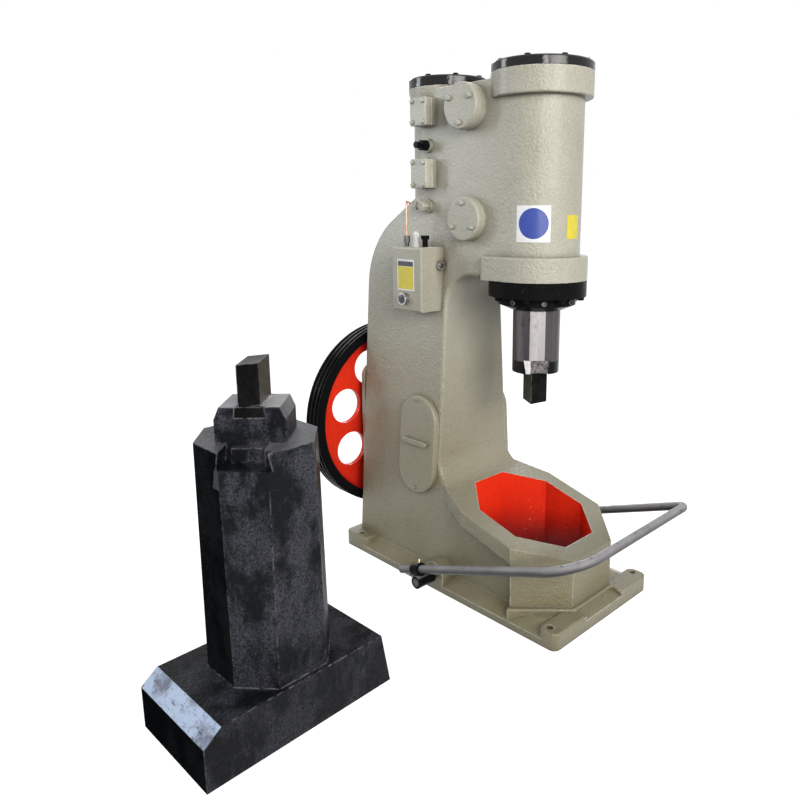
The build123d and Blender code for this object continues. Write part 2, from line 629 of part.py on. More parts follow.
def flywheel():
    """Rim with belt grooves, a thin web with round holes, and a hub on the shaft."""
    pitch = RIM_WIDTH / GROOVE_COUNT
    mouth = pitch * GROOVE_MOUTH_SHARE
    floor = mouth * GROOVE_FLOOR_SHARE
    points = [(0, FLYWHEEL_R - RIM_DEPTH), (0, FLYWHEEL_R)]
    for index in range(GROOVE_COUNT):
        middle = pitch * (index + 1 / 2)
        points += [
            (middle - mouth / 2, FLYWHEEL_R), (middle - floor / 2, FLYWHEEL_R - GROOVE_DEPTH),
            (middle + floor / 2, FLYWHEEL_R - GROOVE_DEPTH), (middle + mouth / 2, FLYWHEEL_R),
        ]
    points += [(RIM_WIDTH, FLYWHEEL_R), (RIM_WIDTH, FLYWHEEL_R - RIM_DEPTH)]
    side = Plane(origin=(WHEEL_FRONT, 0, SHAFT_HEIGHT), x_dir=(-1, 0, 0), z_dir=(0, 1, 0))
    wheel = revolve(side * outline(*points), Axis((0, 0, SHAFT_HEIGHT), (1, 0, 0)), 360)
    web = Circle(FLYWHEEL_R - RIM_DEPTH / 2)
    web -= Rot(0, 0, WEB_HOLE_START) * PolarLocations(WEB_HOLE_CIRCLE_R, WEB_HOLE_COUNT) * Circle(WEB_HOLE_R)
    wheel += extrude(shaft_plane(WHEEL_FRONT - WEB_SETBACK - WEB_THICKNESS) * web, amount=WEB_THICKNESS)
    wheel += extrude(shaft_plane(HUB_REAR) * Circle(HUB_R), amount=HUB_LENGTH)
    return wheel - extrude(shaft_plane(HUB_REAR) * Circle(SHAFT_R + PRESS_FIT), amount=HUB_LENGTH)


def valve_cover(height, thickness, side):
    face = Pos(COVER_X, height) * Circle(COVER_R)
    disc = extrude(Plane.XZ.offset(COVER_SEAT) * face, amount=thickness)
    disc = fillet(disc.edges().group_by(Axis.Y)[0], COVER_EDGE_R)
    return disc if side < 0 else mirror(disc, about=Plane.XZ)


def port_cover(height, length):
    face = Pos(PORT_X, height) * RectangleRounded(PORT_WIDTH, length, PORT_EDGE_R)
    block = extrude(Plane.XZ.offset(PORT_SEAT) * face, amount=PORT_THICKNESS)
    return chamfer(block.edges().group_by(Axis.Y)[0], PORT_EDGE_R / 2)


def stacked(start, *lengths_and_faces):
    """Faces extruded one after another along a plane's normal."""
    plane = start
    pieces = []
    for length, face in lengths_and_faces:
        pieces.append(extrude(plane * face, amount=length))
        plane = plane.offset(length)
    return pieces[0] + pieces[1:]


def check_valve():
    seat = Plane(origin=(PORT_X, -FITTING_SEAT, VALVE_HEIGHT), x_dir=(1, 0, 0), z_dir=(0, -1, 0))
    return stacked(
        seat, (VALVE_HEX_LENGTH, RegularPolygon(VALVE_HEX_R, 6)), (VALVE_NECK_LENGTH, Circle(VALVE_NECK_R)),
        (VALVE_END_LENGTH, Circle(VALVE_END_R)),
    )


def pipe_fitting():
    """A nut on its boss, with an arm to the rear that ends in a smaller nut."""
    seat = Plane(origin=(PORT_X, -FITTING_SEAT, FITTING_HEIGHT), x_dir=(1, 0, 0), z_dir=(0, -1, 0))
    nut = extrude(seat * RegularPolygon(FITTING_NUT_R, 6), amount=FITTING_NUT_LENGTH)
    arm_y = -FITTING_SEAT - FITTING_NUT_LENGTH / 2
    arm = Plane(origin=(PORT_X, arm_y, FITTING_HEIGHT), x_dir=(0, 1, 0), z_dir=(-1, 0, 0))
    return nut + stacked(
        arm, (FITTING_ARM_LENGTH, Circle(FITTING_ARM_R)),
        (FITTING_END_LENGTH, RegularPolygon(FITTING_END_R, 6)),
    )


OIL_X = RAM_X - OIL_BOX_SETBACK
OIL_FOOT = THROAT_HEIGHT - OIL_BOX_DROP
OIL_TOP = OIL_FOOT + OIL_BOX_HEIGHT
OIL_TOP_Y = OIL_TOP_FACE_INSET - OIL_BOX_FACE


def oil_box():
    plan = Pos(OIL_X, -OIL_BOX_FACE / 2) * Rectangle(OIL_BOX_LENGTH, OIL_BOX_FACE)
    box = upright(plan, OIL_FOOT, OIL_TOP)
    front = box.edges().group_by(Axis.Y)[0]
    return fillet(front, OIL_BOX_EDGE_R) - flank_envelope()


def oil_top_plane(x):
    return Plane(origin=(x, OIL_TOP_Y, OIL_TOP))


def oil_dome():
    """A bullet-shaped breather that stands in a low nut."""
    base = oil_top_plane(OIL_X)
    bullet = extrude(base * Circle(DOME_R), amount=DOME_HEIGHT)
    bullet = fillet(bullet.edges().group_by(Axis.Z)[-1], DOME_R * DOME_ROUND_SHARE)
    return bullet + extrude(base * RegularPolygon(DOME_NUT_R, 6), amount=DOME_NUT_HEIGHT)


def oil_knob():
    return stacked(
        oil_top_plane(OIL_X + OIL_TOP_SPACING), (KNOB_STEM_HEIGHT, Circle(KNOB_STEM_R)),
        (KNOB_HEAD_HEIGHT, Circle(KNOB_R)),
    )


def oil_ferrule():
    return stacked(
        oil_top_plane(OIL_X - OIL_TOP_SPACING), (FERRULE_NECK_HEIGHT, Circle(FERRULE_NECK_R)),
        (FERRULE_NUT_HEIGHT, RegularPolygon(FERRULE_NUT_R, 6)),
    )


def oil_pipe():
    """Copper tube that rises from the ferrule and bends over onto the rear shoulder."""
    x = OIL_X - OIL_TOP_SPACING
    foot = OIL_TOP + FERRULE_NECK_HEIGHT + FERRULE_NUT_HEIGHT
    head = foot + OIL_PIPE_RISE
    end_x = x - OIL_PIPE_RUN_BACK
    end_y = OIL_TOP_Y + OIL_PIPE_RUN_IN
    turn = radians(SHOULDER_TURN)
    slope = tan(radians(90 - SHOULDER_TURN))
    shoulder_x = COLUMN_REAR + SHOULDER_R * (1 - cos(turn))
    shoulder_z = SHOULDER_START + SHOULDER_R * sin(turn)
    end_z = shoulder_z + slope * (end_x - shoulder_x)
    path = FilletPolyline(
        (x, OIL_TOP_Y, foot), (x, OIL_TOP_Y, head), (end_x, end_y, head), (end_x, end_y, end_z - OIL_PIPE_R),
        radius=OIL_PIPE_BEND_R,
    )
    section = Plane(origin=(x, OIL_TOP_Y, foot)) * Circle(OIL_PIPE_R)
    return sweep(section, path=path) - column()


def oil_sight_plug():
    place = Pos(OIL_X - SIGHT_OFFSET, OIL_FOOT + SIGHT_HEIGHT)
    return extrude(Plane.XZ.offset(OIL_BOX_FACE) * place * Circle(SIGHT_R), amount=SIGHT_LENGTH)


def oil_side_plug():
    place = Pos(SIDE_PLUG_FACE_INSET - OIL_BOX_FACE, OIL_FOOT + SIDE_PLUG_HEIGHT)
    wall = Plane.YZ.offset(OIL_X + OIL_BOX_LENGTH / 2)
    return extrude(wall * place * Circle(SIDE_PLUG_R), amount=SIDE_PLUG_LENGTH)


def inspection_cover(side):
    plane = flank_plane(RAM_X - INSPECTION_SETBACK, INSPECTION_HEIGHT, side)
    face = plane * SlotOverall(INSPECTION_LENGTH, INSPECTION_WIDTH, rotation=90)
    plate = extrude(face, amount=INSPECTION_THICKNESS)
    return fillet(plate.faces().sort_by(Axis(plane.origin, plane.z_dir))[-1].edges(), INSPECTION_EDGE_R)


def inspection_handle(side):
    plane = flank_plane(RAM_X - INSPECTION_SETBACK, INSPECTION_HEIGHT, side).offset(INSPECTION_THICKNESS)
    bar = Pos(0, HANDLE_RAISE) * SlotOverall(HANDLE_LENGTH, HANDLE_WIDTH)
    return extrude(plane * bar, amount=HANDLE_PROUD)


def treadle_plane():
    tilt = radians(TREADLE_TILT)
    return Plane(
        origin=(PIVOT_X - CLAMP_OFFSET * sin(tilt), 0, PIVOT_HEIGHT + CLAMP_OFFSET * cos(tilt)),
        x_dir=(cos(tilt), 0, sin(tilt)),
        z_dir=(-sin(tilt), 0, cos(tilt)),
    )


def treadle_bar():
    """One tube bent to a U that reaches round the front of the well."""
    half = TREADLE_HALF_SPAN
    plane = treadle_plane()
    corners = [(-TREADLE_TAIL, -half), (TREADLE_REACH, -half), (TREADLE_REACH, half), (-TREADLE_TAIL, half)]
    places = [plane.from_local_coords(Vector(x, y, 0)) for x, y in corners]
    path = FilletPolyline(*places, radius=[TREADLE_NEAR_R, TREADLE_FAR_R])
    start = Plane(origin=places[0], z_dir=plane.x_dir)
    ring = Circle(TREADLE_TUBE_R) - Circle(TREADLE_TUBE_R - TREADLE_TUBE_WALL)
    return sweep(start * ring, path=path)


CLAMP_START = BASE_HALF_WIDTH + CLAMP_GAP
CLAMP_END = TREADLE_HALF_SPAN + CLAMP_RING_R


def treadle_clamp(side):
    """A ring on the tube, at right angles to an eye on the pivot shaft."""
    plane = treadle_plane()
    eye_plane = Plane(origin=(PIVOT_X, 0, PIVOT_HEIGHT), x_dir=plane.x_dir, z_dir=(0, -1, 0))
    eye = extrude(eye_plane.offset(CLAMP_START) * Circle(CLAMP_EYE_R), amount=CLAMP_END - CLAMP_START)
    half = CLAMP_RING_LENGTH / 2
    ring_start = plane.from_local_coords(Vector(-half, -TREADLE_HALF_SPAN, 0))
    ring_plane = Plane(origin=ring_start, z_dir=plane.x_dir)
    ring = extrude(ring_plane * Circle(CLAMP_RING_R), amount=CLAMP_RING_LENGTH)
    tube = Circle(TREADLE_TUBE_R + PRESS_FIT)
    bore = extrude(ring_plane.offset(-half) * tube, amount=2 * CLAMP_RING_LENGTH)
    shaft_hole = extrude(eye_plane * Circle(PIVOT_SHAFT_R + PRESS_FIT), amount=CLAMP_END)
    clamp = eye + ring - bore - shaft_hole
    return clamp if side < 0 else mirror(clamp, about=Plane.XZ)


def treadle_shaft():
    return side_slab(Pos(PIVOT_X, PIVOT_HEIGHT) * Circle(PIVOT_SHAFT_R), CLAMP_END)


ANVIL_PLACE = Pos(RAM_X - ANVIL_SETBACK, -ANVIL_OFFSET) * Rot(0, 0, ANVIL_TURN)
ANVIL_SLOT = slot_plane(0, 0, ANVIL_HEIGHT, ANVIL_SLOT_AZIMUTH, -1)
CAP_TOP = ANVIL_HEIGHT + CAP_BLOCK_HEIGHT
CAP_SLOT = slot_plane(0, 0, CAP_TOP, ANVIL_SLOT_AZIMUTH, -1)


def anvil_base():
    """A long foot, cut back along the top of its near end, with its far end leaning in."""
    half = ANVIL_BASE_WIDTH / 2
    section = outline(
        (-half, 0), (half, 0), (half - ANVIL_BASE_LEAN, ANVIL_BASE_HEIGHT),
        (ANVIL_BASE_CUT - half, ANVIL_BASE_HEIGHT), (-half, ANVIL_BASE_HEIGHT - ANVIL_BASE_CUT_DROP),
    )
    return extrude(Plane.YZ * section, amount=ANVIL_BASE_LENGTH / 2, both=True)


def anvil_stem():
    """Eight-sided, upright in front, with the faces behind spread towards the foot."""
    spread_x = ANVIL_FOOT_SPREAD_X / 2
    spread_y = ANVIL_FOOT_SPREAD_Y / 2
    foot = octagon(
        ANVIL_HALF_LENGTH + spread_x, ANVIL_HALF_WIDTH + spread_y,
        ANVIL_CUT_X - spread_x, ANVIL_CUT_Y - spread_y,
    )
    head = octagon(ANVIL_HALF_LENGTH, ANVIL_HALF_WIDTH, ANVIL_CUT_X, ANVIL_CUT_Y)
    return loft([Pos(-spread_x, spread_y, 0) * foot, Pos(0, 0, ANVIL_HEIGHT) * head], ruled=True)


def anvil_block():
    block = anvil_base() + anvil_stem()
    slot = ANVIL_SLOT * slot_section(ANVIL_SLOT_MOUTH, ANVIL_SLOT_DEPTH)
    return block - extrude(slot, amount=ANVIL_BASE_LENGTH, both=True)


def anvil_cap():
    half = CAP_BLOCK_WIDTH / 2
    top_half = half - CAP_BLOCK_CUT_WIDTH
    cut = CAP_BLOCK_CUT_HEIGHT - CAP_BLOCK_HEIGHT
    section = outline(
        (-half, 0), (half, 0), (half, cut), (top_half, -CAP_BLOCK_HEIGHT),
        (-top_half, -CAP_BLOCK_HEIGHT), (-half, cut),
    )
    section += tenon_section(ANVIL_SLOT_MOUTH, ANVIL_SLOT_DEPTH)
    block = extrude(ANVIL_SLOT * section, amount=CAP_BLOCK_LENGTH / 2, both=True)
    slot = CAP_SLOT * slot_section(CAP_SLOT_MOUTH, CAP_SLOT_DEPTH)
    return block - extrude(slot, amount=CAP_BLOCK_LENGTH, both=True)


def anvil_wedge():
    section = ANVIL_SLOT * wedge_section(ANVIL_SLOT_MOUTH, ANVIL_SLOT_DEPTH)
    return extrude(section, amount=CAP_BLOCK_LENGTH / 2 + ANVIL_WEDGE_PROUD, both=True)


def lower_die():
    plan = die_block(LOWER_DIE_LENGTH, LOWER_DIE_WIDTH, LOWER_DIE_SIDE_AZIMUTH, LOWER_DIE_END_AZIMUTH)
    block = upright(plan, CAP_TOP, CAP_TOP + LOWER_DIE_TOP)
    tenon = CAP_SLOT * tenon_section(CAP_SLOT_MOUTH, CAP_SLOT_DEPTH)
    return block + extrude(tenon, amount=LOWER_DIE_LENGTH / 2, both=True)


def lower_die_wedge():
    section = CAP_SLOT * wedge_section(CAP_SLOT_MOUTH, CAP_SLOT_DEPTH)
    return extrude(section, amount=CAP_BLOCK_LENGTH / 2, both=True)


NODES = {
    "frame_casting": frame_casting(),
    "ram_cylinder_cap": round_cap(RAM_X, RAM_FLANGE_R, RAM_CAP_BASE, TOTAL_HEIGHT),
    "compressor_cap": round_cap(COMPRESSOR_X, COMPRESSOR_FLANGE_R, COMPRESSOR_CAP_BASE, COMPRESSOR_CAP_TOP),
    "gland_flange": gland_flange(),
    "gland_ring": gland_ring(),
    "ram": ram(),
    "upper_die": upper_die(),
    "upper_die_wedge": upper_die_wedge(),
    "rear_bearing_cover": rear_bearing_cover(),
    "crankshaft": crankshaft(),
    "flywheel": flywheel(),
    "upper_port_cover": port_cover(UPPER_PORT_HEIGHT, UPPER_PORT_LENGTH),
    "lower_port_cover": port_cover(LOWER_PORT_HEIGHT, LOWER_PORT_LENGTH),
    "check_valve": check_valve(),
    "pipe_fitting": pipe_fitting(),
    "oil_box": oil_box(),
    "oil_dome": oil_dome(),
    "oil_knob": oil_knob(),
    "oil_ferrule": oil_ferrule(),
    "oil_pipe": oil_pipe(),
    "oil_sight_plug": oil_sight_plug(),
    "oil_side_plug": oil_side_plug(),
    "treadle_bar": treadle_bar(),
    "treadle_shaft": treadle_shaft(),
    "anvil_block": ANVIL_PLACE * anvil_block(),
    "anvil_cap": ANVIL_PLACE * anvil_cap(),
    "anvil_wedge": ANVIL_PLACE * anvil_wedge(),
    "lower_die": ANVIL_PLACE * lower_die(),
    "lower_die_wedge": ANVIL_PLACE * lower_die_wedge(),
}
for side, hand in ((-1, "right"), (1, "left")):
    NODES[f"upper_valve_cover_{hand}"] = valve_cover(UPPER_COVER_HEIGHT, UPPER_COVER_THICKNESS, side)
    NODES[f"lower_valve_cover_{hand}"] = valve_cover(LOWER_COVER_HEIGHT, LOWER_COVER_THICKNESS, side)
    NODES[f"inspection_cover_{hand}"] = inspection_cover(side)
    NODES[f"inspection_handle_{hand}"] = inspection_handle(side)
    NODES[f"treadle_clamp_{hand}"] = treadle_clamp(side)

for name, shape in NODES.items():
    export_step(shape, f"parts/{name}.step")
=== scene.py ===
from math import atan2, cos, hypot, pi, radians, sin, sqrt
from random import Random

import bmesh
import bpy
from mathutils import Matrix, Vector


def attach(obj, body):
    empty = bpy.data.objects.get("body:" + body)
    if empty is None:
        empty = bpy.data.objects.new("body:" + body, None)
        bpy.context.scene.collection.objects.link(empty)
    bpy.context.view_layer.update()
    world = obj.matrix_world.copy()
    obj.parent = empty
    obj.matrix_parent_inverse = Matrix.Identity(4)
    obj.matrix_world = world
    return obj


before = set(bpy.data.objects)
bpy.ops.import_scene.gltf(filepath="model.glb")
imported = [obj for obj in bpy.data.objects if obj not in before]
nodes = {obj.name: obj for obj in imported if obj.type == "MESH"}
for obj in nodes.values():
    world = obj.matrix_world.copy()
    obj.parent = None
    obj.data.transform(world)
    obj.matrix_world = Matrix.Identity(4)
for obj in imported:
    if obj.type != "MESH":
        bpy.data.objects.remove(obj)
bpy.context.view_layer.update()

scene = bpy.context.scene
scene.view_settings.view_transform = "Standard"
chance = Random(7)

# Camera, from the photograph's perspective, which is 800 pixels square
PHOTO_SIZE = 800
FOCAL_PX = 712.33
CENTRE_U = 455.91
CENTRE_V = 358.62
CAMERA_PLACE = Vector((1.5056, -1.6831, 1.2059))
CAMERA_YAW = radians(45.26)
CAMERA_PITCH = radians(11.98)
SENSOR_MM = 36

# Colours, linear
PAINT = (0.345, 0.330, 0.262)
PAINT_PALE = (0.47, 0.46, 0.395)
# Thin worn paint with a painted highlight, on edges
PAINT_THIN_AND_HIGHLIGHT = (0.85, 0.83, 0.74)
# Dark dirt specks, and painted shade in inner corners
PAINT_DIRT_AND_SHADE = (0.105, 0.092, 0.055)
# Painted shade on the casting low down
PAINT_LOW_SHADE = (0.186, 0.157, 0.066)
ENAMEL = (0.006, 0.006, 0.0065)
ENAMEL_DUST = (0.045, 0.043, 0.040)
# Dust and a painted sheen on upward black faces
TOP_DUST_AND_SHEEN = (0.25, 0.247, 0.24)
RED = (0.88, 0.036, 0.010)
RED_DEEP = (0.36, 0.007, 0.006)
RED_LOW_SHADE = (0.10, 0.002, 0.003)
RED_CHIP = (0.80, 0.55, 0.46)
RAM_BAND = (0.012, 0.012, 0.012)
TUBE = (0.37, 0.365, 0.385)
TUBE_DULL = (0.25, 0.245, 0.26)
# Painted shade on the tube's underside
TUBE_SHADE_BELOW = (0.045, 0.043, 0.045)
TUBE_MARK = (0.05, 0.043, 0.04)
EDGE_STEEL = (0.24, 0.24, 0.25)
DIE_TOP = (0.05, 0.05, 0.05)
ANVIL = (0.005, 0.006, 0.008)
# The anvil's worn and top colours carry a painted sheen
ANVIL_WORN_AND_SHEEN = (0.072, 0.075, 0.092)
ANVIL_TOP_DUST_AND_SHEEN = (0.44, 0.445, 0.465)
# Bare metal with a painted sky reflection
ANVIL_BARE_AND_SKY_SHEEN = (0.62, 0.75, 1.0)
ANVIL_SCUFF = (0.11, 0.11, 0.16)
CLEAR = (0.93, 0.94, 0.93)
CLEAR_MILKY = (0.80, 0.82, 0.80)

# Heights at which a finish changes
RAM_BAND_Z = 0.755
RAM_BAND_FADE = 0.002
# The casting's painted shade fades out between these heights
LOW_SHADE_Z = (0.05, 1.15)
PIT_SHADE_Z = (0.03, 0.2)
ANVIL_BASE_Z = (0.12, 0.32)
ANVIL_LEDGE_Z = (0.685, 0.73)

EDGE_SAMPLES = 6
SHADE_SAMPLES = 8


class Finish:
    """A procedural material, with short calls for the nodes that the finishes share."""

    def __init__(self, name, **sockets):
        self.material = bpy.data.materials.new(name)
        self.material.use_nodes = True
        self.tree = self.material.node_tree
        self.tree.nodes.clear()
        self.shader = self.tree.nodes.new("ShaderNodeBsdfPrincipled")
        output = self.tree.nodes.new("ShaderNodeOutputMaterial")
        self.tree.links.new(self.shader.outputs["BSDF"], output.inputs["Surface"])
        self.place = self.tree.nodes.new("ShaderNodeTexCoord").outputs["Object"]
        for label, value in sockets.items():
            self.shader.inputs[label.replace("_", " ")].default_value = value

    def node(self, kind, inputs, **settings):
        made = self.tree.nodes.new(kind)
        for key, value in settings.items():
            setattr(made, key, value)
        for label, value in inputs.items():
            if isinstance(value, bpy.types.NodeSocket):
                self.tree.links.new(value, made.inputs[label])
            else:
                made.inputs[label].default_value = value
        return made

    def noise(self, scale, detail=3.0, rough=0.55, stretch=None):
        place = self.place
        if stretch:
            inputs = {"Vector": place, "Scale": stretch}
            place = self.node("ShaderNodeMapping", inputs).outputs["Vector"]
        inputs = {"Vector": place, "Scale": scale, "Detail": detail, "Roughness": rough}
        return self.node("ShaderNodeTexNoise", inputs).outputs["Fac"]

    def span(self, value, low, high, start=0.0, end=1.0):
        """Maps low to high onto start to end, and holds what lies outside."""
        inputs = {"Value": value, "From Min": low, "From Max": high, "To Min": start, "To Max": end}
        return self.node("ShaderNodeMapRange", inputs).outputs["Result"]

    def patches(self, scale, low, high, start=0.0, end=1.0, **noise):
        """Noise of a scale, mapped from low to high onto start to end."""
        return self.span(self.noise(scale, **noise), low, high, start, end)

    def height(self, low, high, start=0.0, end=1.0):
        z = self.node("ShaderNodeSeparateXYZ", {0: self.place}).outputs["Z"]
        return self.span(z, low, high, start, end)

    def upward(self, low, high):
        normal = self.node("ShaderNodeNewGeometry", {}).outputs["Normal"]
        z = self.node("ShaderNodeSeparateXYZ", {0: normal}).outputs["Z"]
        return self.span(z, low, high)

    def sums(self, operation, first, second):
        inputs = {0: first, 1: second}
        return self.node("ShaderNodeMath", inputs, operation=operation).outputs["Value"]

    def mix(self, share, first, second):
        made = self.node("ShaderNodeMix", {0: share}, data_type="RGBA")
        for index, value in ((6, first), (7, second)):
            if isinstance(value, bpy.types.NodeSocket):
                self.tree.links.new(value, made.inputs[index])
            else:
                made.inputs[index].default_value = (*value, 1.0)
        return made.outputs[2]

    def over(self, tone, *layers):
        """Lays colours on a tone in turn, each by its share."""
        for share, colour in layers:
            tone = self.mix(share, tone, colour)
        return tone

    def openness(self, distance, low, high, start, end):
        inputs = {"Distance": distance}
        shade = self.node("ShaderNodeAmbientOcclusion", inputs, samples=SHADE_SAMPLES).outputs["AO"]
        return self.span(shade, low, high, start, end)

    def crevice(self, distance, low, high):
        """One in inner corners, nothing on open faces."""
        return self.openness(distance, low, high, 1.0, 0.0)

    def proud(self, distance, low, high):
        """One on open faces and outer edges, nothing in inner corners."""
        return self.openness(distance, low, high, 0.0, 1.0)

    def soft_edges(self, radius):
        inputs = {"Radius": radius}
        return self.node("ShaderNodeBevel", inputs, samples=EDGE_SAMPLES).outputs["Normal"]

    def edge_share(self, radius, low, high):
        """One at edges, where the rounded normal turns away from the true one."""
        outer = self.node("ShaderNodeNewGeometry", {}).outputs["Normal"]
        inputs = {0: self.soft_edges(radius), 1: outer}
        turn = self.node("ShaderNodeVectorMath", inputs, operation="DOT_PRODUCT").outputs["Value"]
        return self.span(turn, high, low)

    def bump(self, height, distance, strength, under=None):
        inputs = {"Height": height, "Distance": distance, "Strength": strength}
        if under is not None:
            inputs["Normal"] = under
        return self.node("ShaderNodeBump", inputs).outputs["Normal"]

    def feed(self, **sockets):
        for label, value in sockets.items():
            self.tree.links.new(value, self.shader.inputs[label.replace("_", " ")])
        return self.material


def cast_paint(name, grain, lumps, edge):
    """Semi-gloss machine paint on a rough casting.

    It has orange peel, slow lumps, dirt with painted shade in inner corners, painted shade low
    down, and thin worn paint with a painted highlight on the edges.
    """
    made = Finish(name, Specular_IOR_Level=0.42, Coat_Weight=0.15, Coat_Roughness=0.18)
    cloud = made.patches(2.6, 0.3, 0.7, detail=4.0)
    fleck = made.patches(150.0, 0.5, 0.68, 0.0, 0.55, detail=2.0)
    speck = made.patches(190.0, 0.52, 0.7, 0.0, 0.25, rough=0.65)
    # Painted shade: the paint darkens towards the bottom
    rising = made.patches(5.0, 0.25, 0.7, 0.55, 1.0, detail=5.0)
    low_shade = made.sums("MULTIPLY", made.height(*LOW_SHADE_Z, 0.9, 0.0), rising)
    # Dirt and painted shade in inner corners
    smear = made.patches(9.0, 0.3, 0.65, 0.5, 1.0, detail=5.0)
    corner = made.sums("MULTIPLY", made.crevice(0.05, 0.35, 0.85), smear)
    # Thin worn paint and a painted highlight on outer edges
    chafe = made.patches(38.0, 0.3, 0.52, detail=4.0)
    edge_wear_and_highlight = made.sums("MULTIPLY", made.edge_share(edge, 0.86, 0.985), chafe)
    edge_wear_and_highlight = made.sums("MULTIPLY", edge_wear_and_highlight, made.proud(0.02, 0.7, 0.9))
    tone = made.over(PAINT, (cloud, PAINT_PALE), (fleck, PAINT_PALE), (speck, PAINT_DIRT_AND_SHADE),
                     (low_shade, PAINT_LOW_SHADE), (corner, PAINT_DIRT_AND_SHADE), (edge_wear_and_highlight, PAINT_THIN_AND_HIGHLIGHT))
    normal = made.bump(made.noise(17.0), 0.006, lumps, made.soft_edges(edge))
    normal = made.bump(made.noise(125.0, rough=0.6), 0.0042, grain, normal)
    gloss = made.patches(70.0, 0.3, 0.7, 0.26, 0.44)
    return made.feed(Base_Color=tone, Roughness=gloss, Normal=normal)


def enamel(name, shine, rough):
    """Gloss black enamel with brush waves, fine dust, and upward faces paler with settled dust and
    a painted sheen.
    """
    made = Finish(name, Specular_IOR_Level=shine)
    dust = made.patches(140.0, 0.58, 0.8, 0.0, 0.6, detail=5.0, rough=0.7)
    # Upward faces: settled dust and a painted sheen
    drift = made.patches(30.0, 0.25, 0.6, 0.5, 1.0, detail=5.0, rough=0.65)
    dust_and_sheen = made.sums("MULTIPLY", made.upward(0.7, 0.98), drift)
    tone = made.over(ENAMEL, (dust, ENAMEL_DUST), (dust_and_sheen, TOP_DUST_AND_SHEEN))
    normal = made.bump(made.noise(60.0, detail=2.0), 0.0012, 0.5, made.soft_edges(0.0025))
    gloss = made.patches(35.0, 0.3, 0.7, rough, 2.2 * rough, detail=4.0)
    return made.feed(Base_Color=tone, Roughness=gloss, Normal=normal)


def gloss_red(name, shade):
    """Thick orange-red gloss paint, brushed over the bare casting.

    The shade is how dark it is low down, and how chipped it is all over.
    """
    made = Finish(name, Specular_IOR_Level=0.16, Coat_Weight=0.04, Coat_Roughness=0.12)
    run = made.patches(8.0, 0.4, 0.8, 0.0, 0.3, detail=4.0, stretch=(1.0, 1.0, 0.35))
    # Painted shade in the pit's corners and low down
    corner = made.crevice(0.3, 0.15, 0.7)
    low = made.height(*PIT_SHADE_Z, shade, 0.0)
    fleck = made.patches(95.0, 0.63, 0.67, detail=6.0, rough=0.75)
    chips = made.sums("MULTIPLY", fleck, made.patches(9.0, 0.5, 0.62, detail=2.0))
    chips = made.sums("MULTIPLY", chips, shade)
    tone = made.over(RED, (run, RED_DEEP), (corner, RED_DEEP), (low, RED_LOW_SHADE), (chips, RED_CHIP))
    normal = made.bump(made.noise(110.0), 0.003, 0.5, made.soft_edges(0.003))
    gloss = made.patches(30.0, 0.3, 0.7, 0.2, 0.4)
    return made.feed(Base_Color=tone, Roughness=gloss, Normal=normal)


def machined_steel(name, bright, dark, rough):
    """Ground steel with streaks along the stroke, thin oil stains and a blackened foot."""
    made = Finish(name, Metallic=1.0)
    streak = made.patches(34.0, 0.35, 0.75, 0.0, 0.7, detail=4.0, rough=0.6,
                          stretch=(2.2, 2.2, 0.06))
    stain = made.noise(26.0, detail=5.0, rough=0.65)
    share = made.sums("ADD", streak, made.span(stain, 0.55, 0.75, 0.0, 0.45))
    band = made.height(RAM_BAND_Z, RAM_BAND_Z + RAM_BAND_FADE, 1.0, 0.0)
    tone = made.over(bright, (share, dark), (band, RAM_BAND))
    scores = made.noise(300.0, detail=2.0, rough=0.5, stretch=(1.0, 1.0, 0.08))
    normal = made.bump(scores, 0.0004, 0.5, made.soft_edges(0.0015))
    gloss = made.span(stain, 0.3, 0.7, rough, rough + 0.16)
    return made.feed(Base_Color=tone, Roughness=gloss, Normal=normal)


def forged_black(name, base, worn, top, shine, pits, edge):
    """Scaled dark steel under thin black paint.

    It has grainy patches of scale with a painted sheen, scrapes, pits, rubbed edges with a painted
    highlight, and high ledges made paler by dust and a painted sheen.
    """
    made = Finish(name, Specular_IOR_Level=shine)
    patch = made.noise(11.0, detail=8.0, rough=0.7, stretch=(1.0, 1.0, 0.6))
    # Grainy patches of scale, with a painted sheen in the worn colour
    grain = made.patches(210.0, 0.39, 0.61, 0.15, 1.25, detail=4.0, rough=0.7)
    share = made.sums("MULTIPLY", made.span(patch, 0.44, 0.56, 0.05, 1.0), grain)
    share = made.sums("MULTIPLY", share, made.height(*ANVIL_BASE_Z, 0.65, 1.0))
    scrape = made.patches(34.0, 0.62, 0.72, 0.0, 0.6, detail=5.0, rough=0.65,
                          stretch=(2.4, 2.4, 0.35))
    # High ledges: dust and a painted sheen
    ledge = made.sums("MULTIPLY", made.upward(0.25, 0.6), made.height(*ANVIL_LEDGE_Z))
    dust_and_sheen = made.sums("MULTIPLY", ledge, made.span(patch, 0.3, 0.55, 0.65, 1.0))
    # Rubbed edges, with a painted highlight
    chafe = made.patches(55.0, 0.42, 0.6, 0.0, 0.85, detail=5.0)
    edge_wear_and_highlight = made.sums("MULTIPLY", made.edge_share(edge, 0.88, 0.99), chafe)
    tone = made.over(base, (share, worn), (scrape, worn), (dust_and_sheen, top), (edge_wear_and_highlight, EDGE_STEEL))
    normal = made.bump(made.noise(20.0, detail=4.0), 0.007, 0.6 * pits, made.soft_edges(edge))
    normal = made.bump(made.noise(120.0, detail=5.0, rough=0.7), 0.0038, pits, normal)
    gloss = made.span(patch, 0.35, 0.65, 0.2, 0.55)
    return made.feed(Base_Color=tone, Roughness=gloss, Normal=normal)


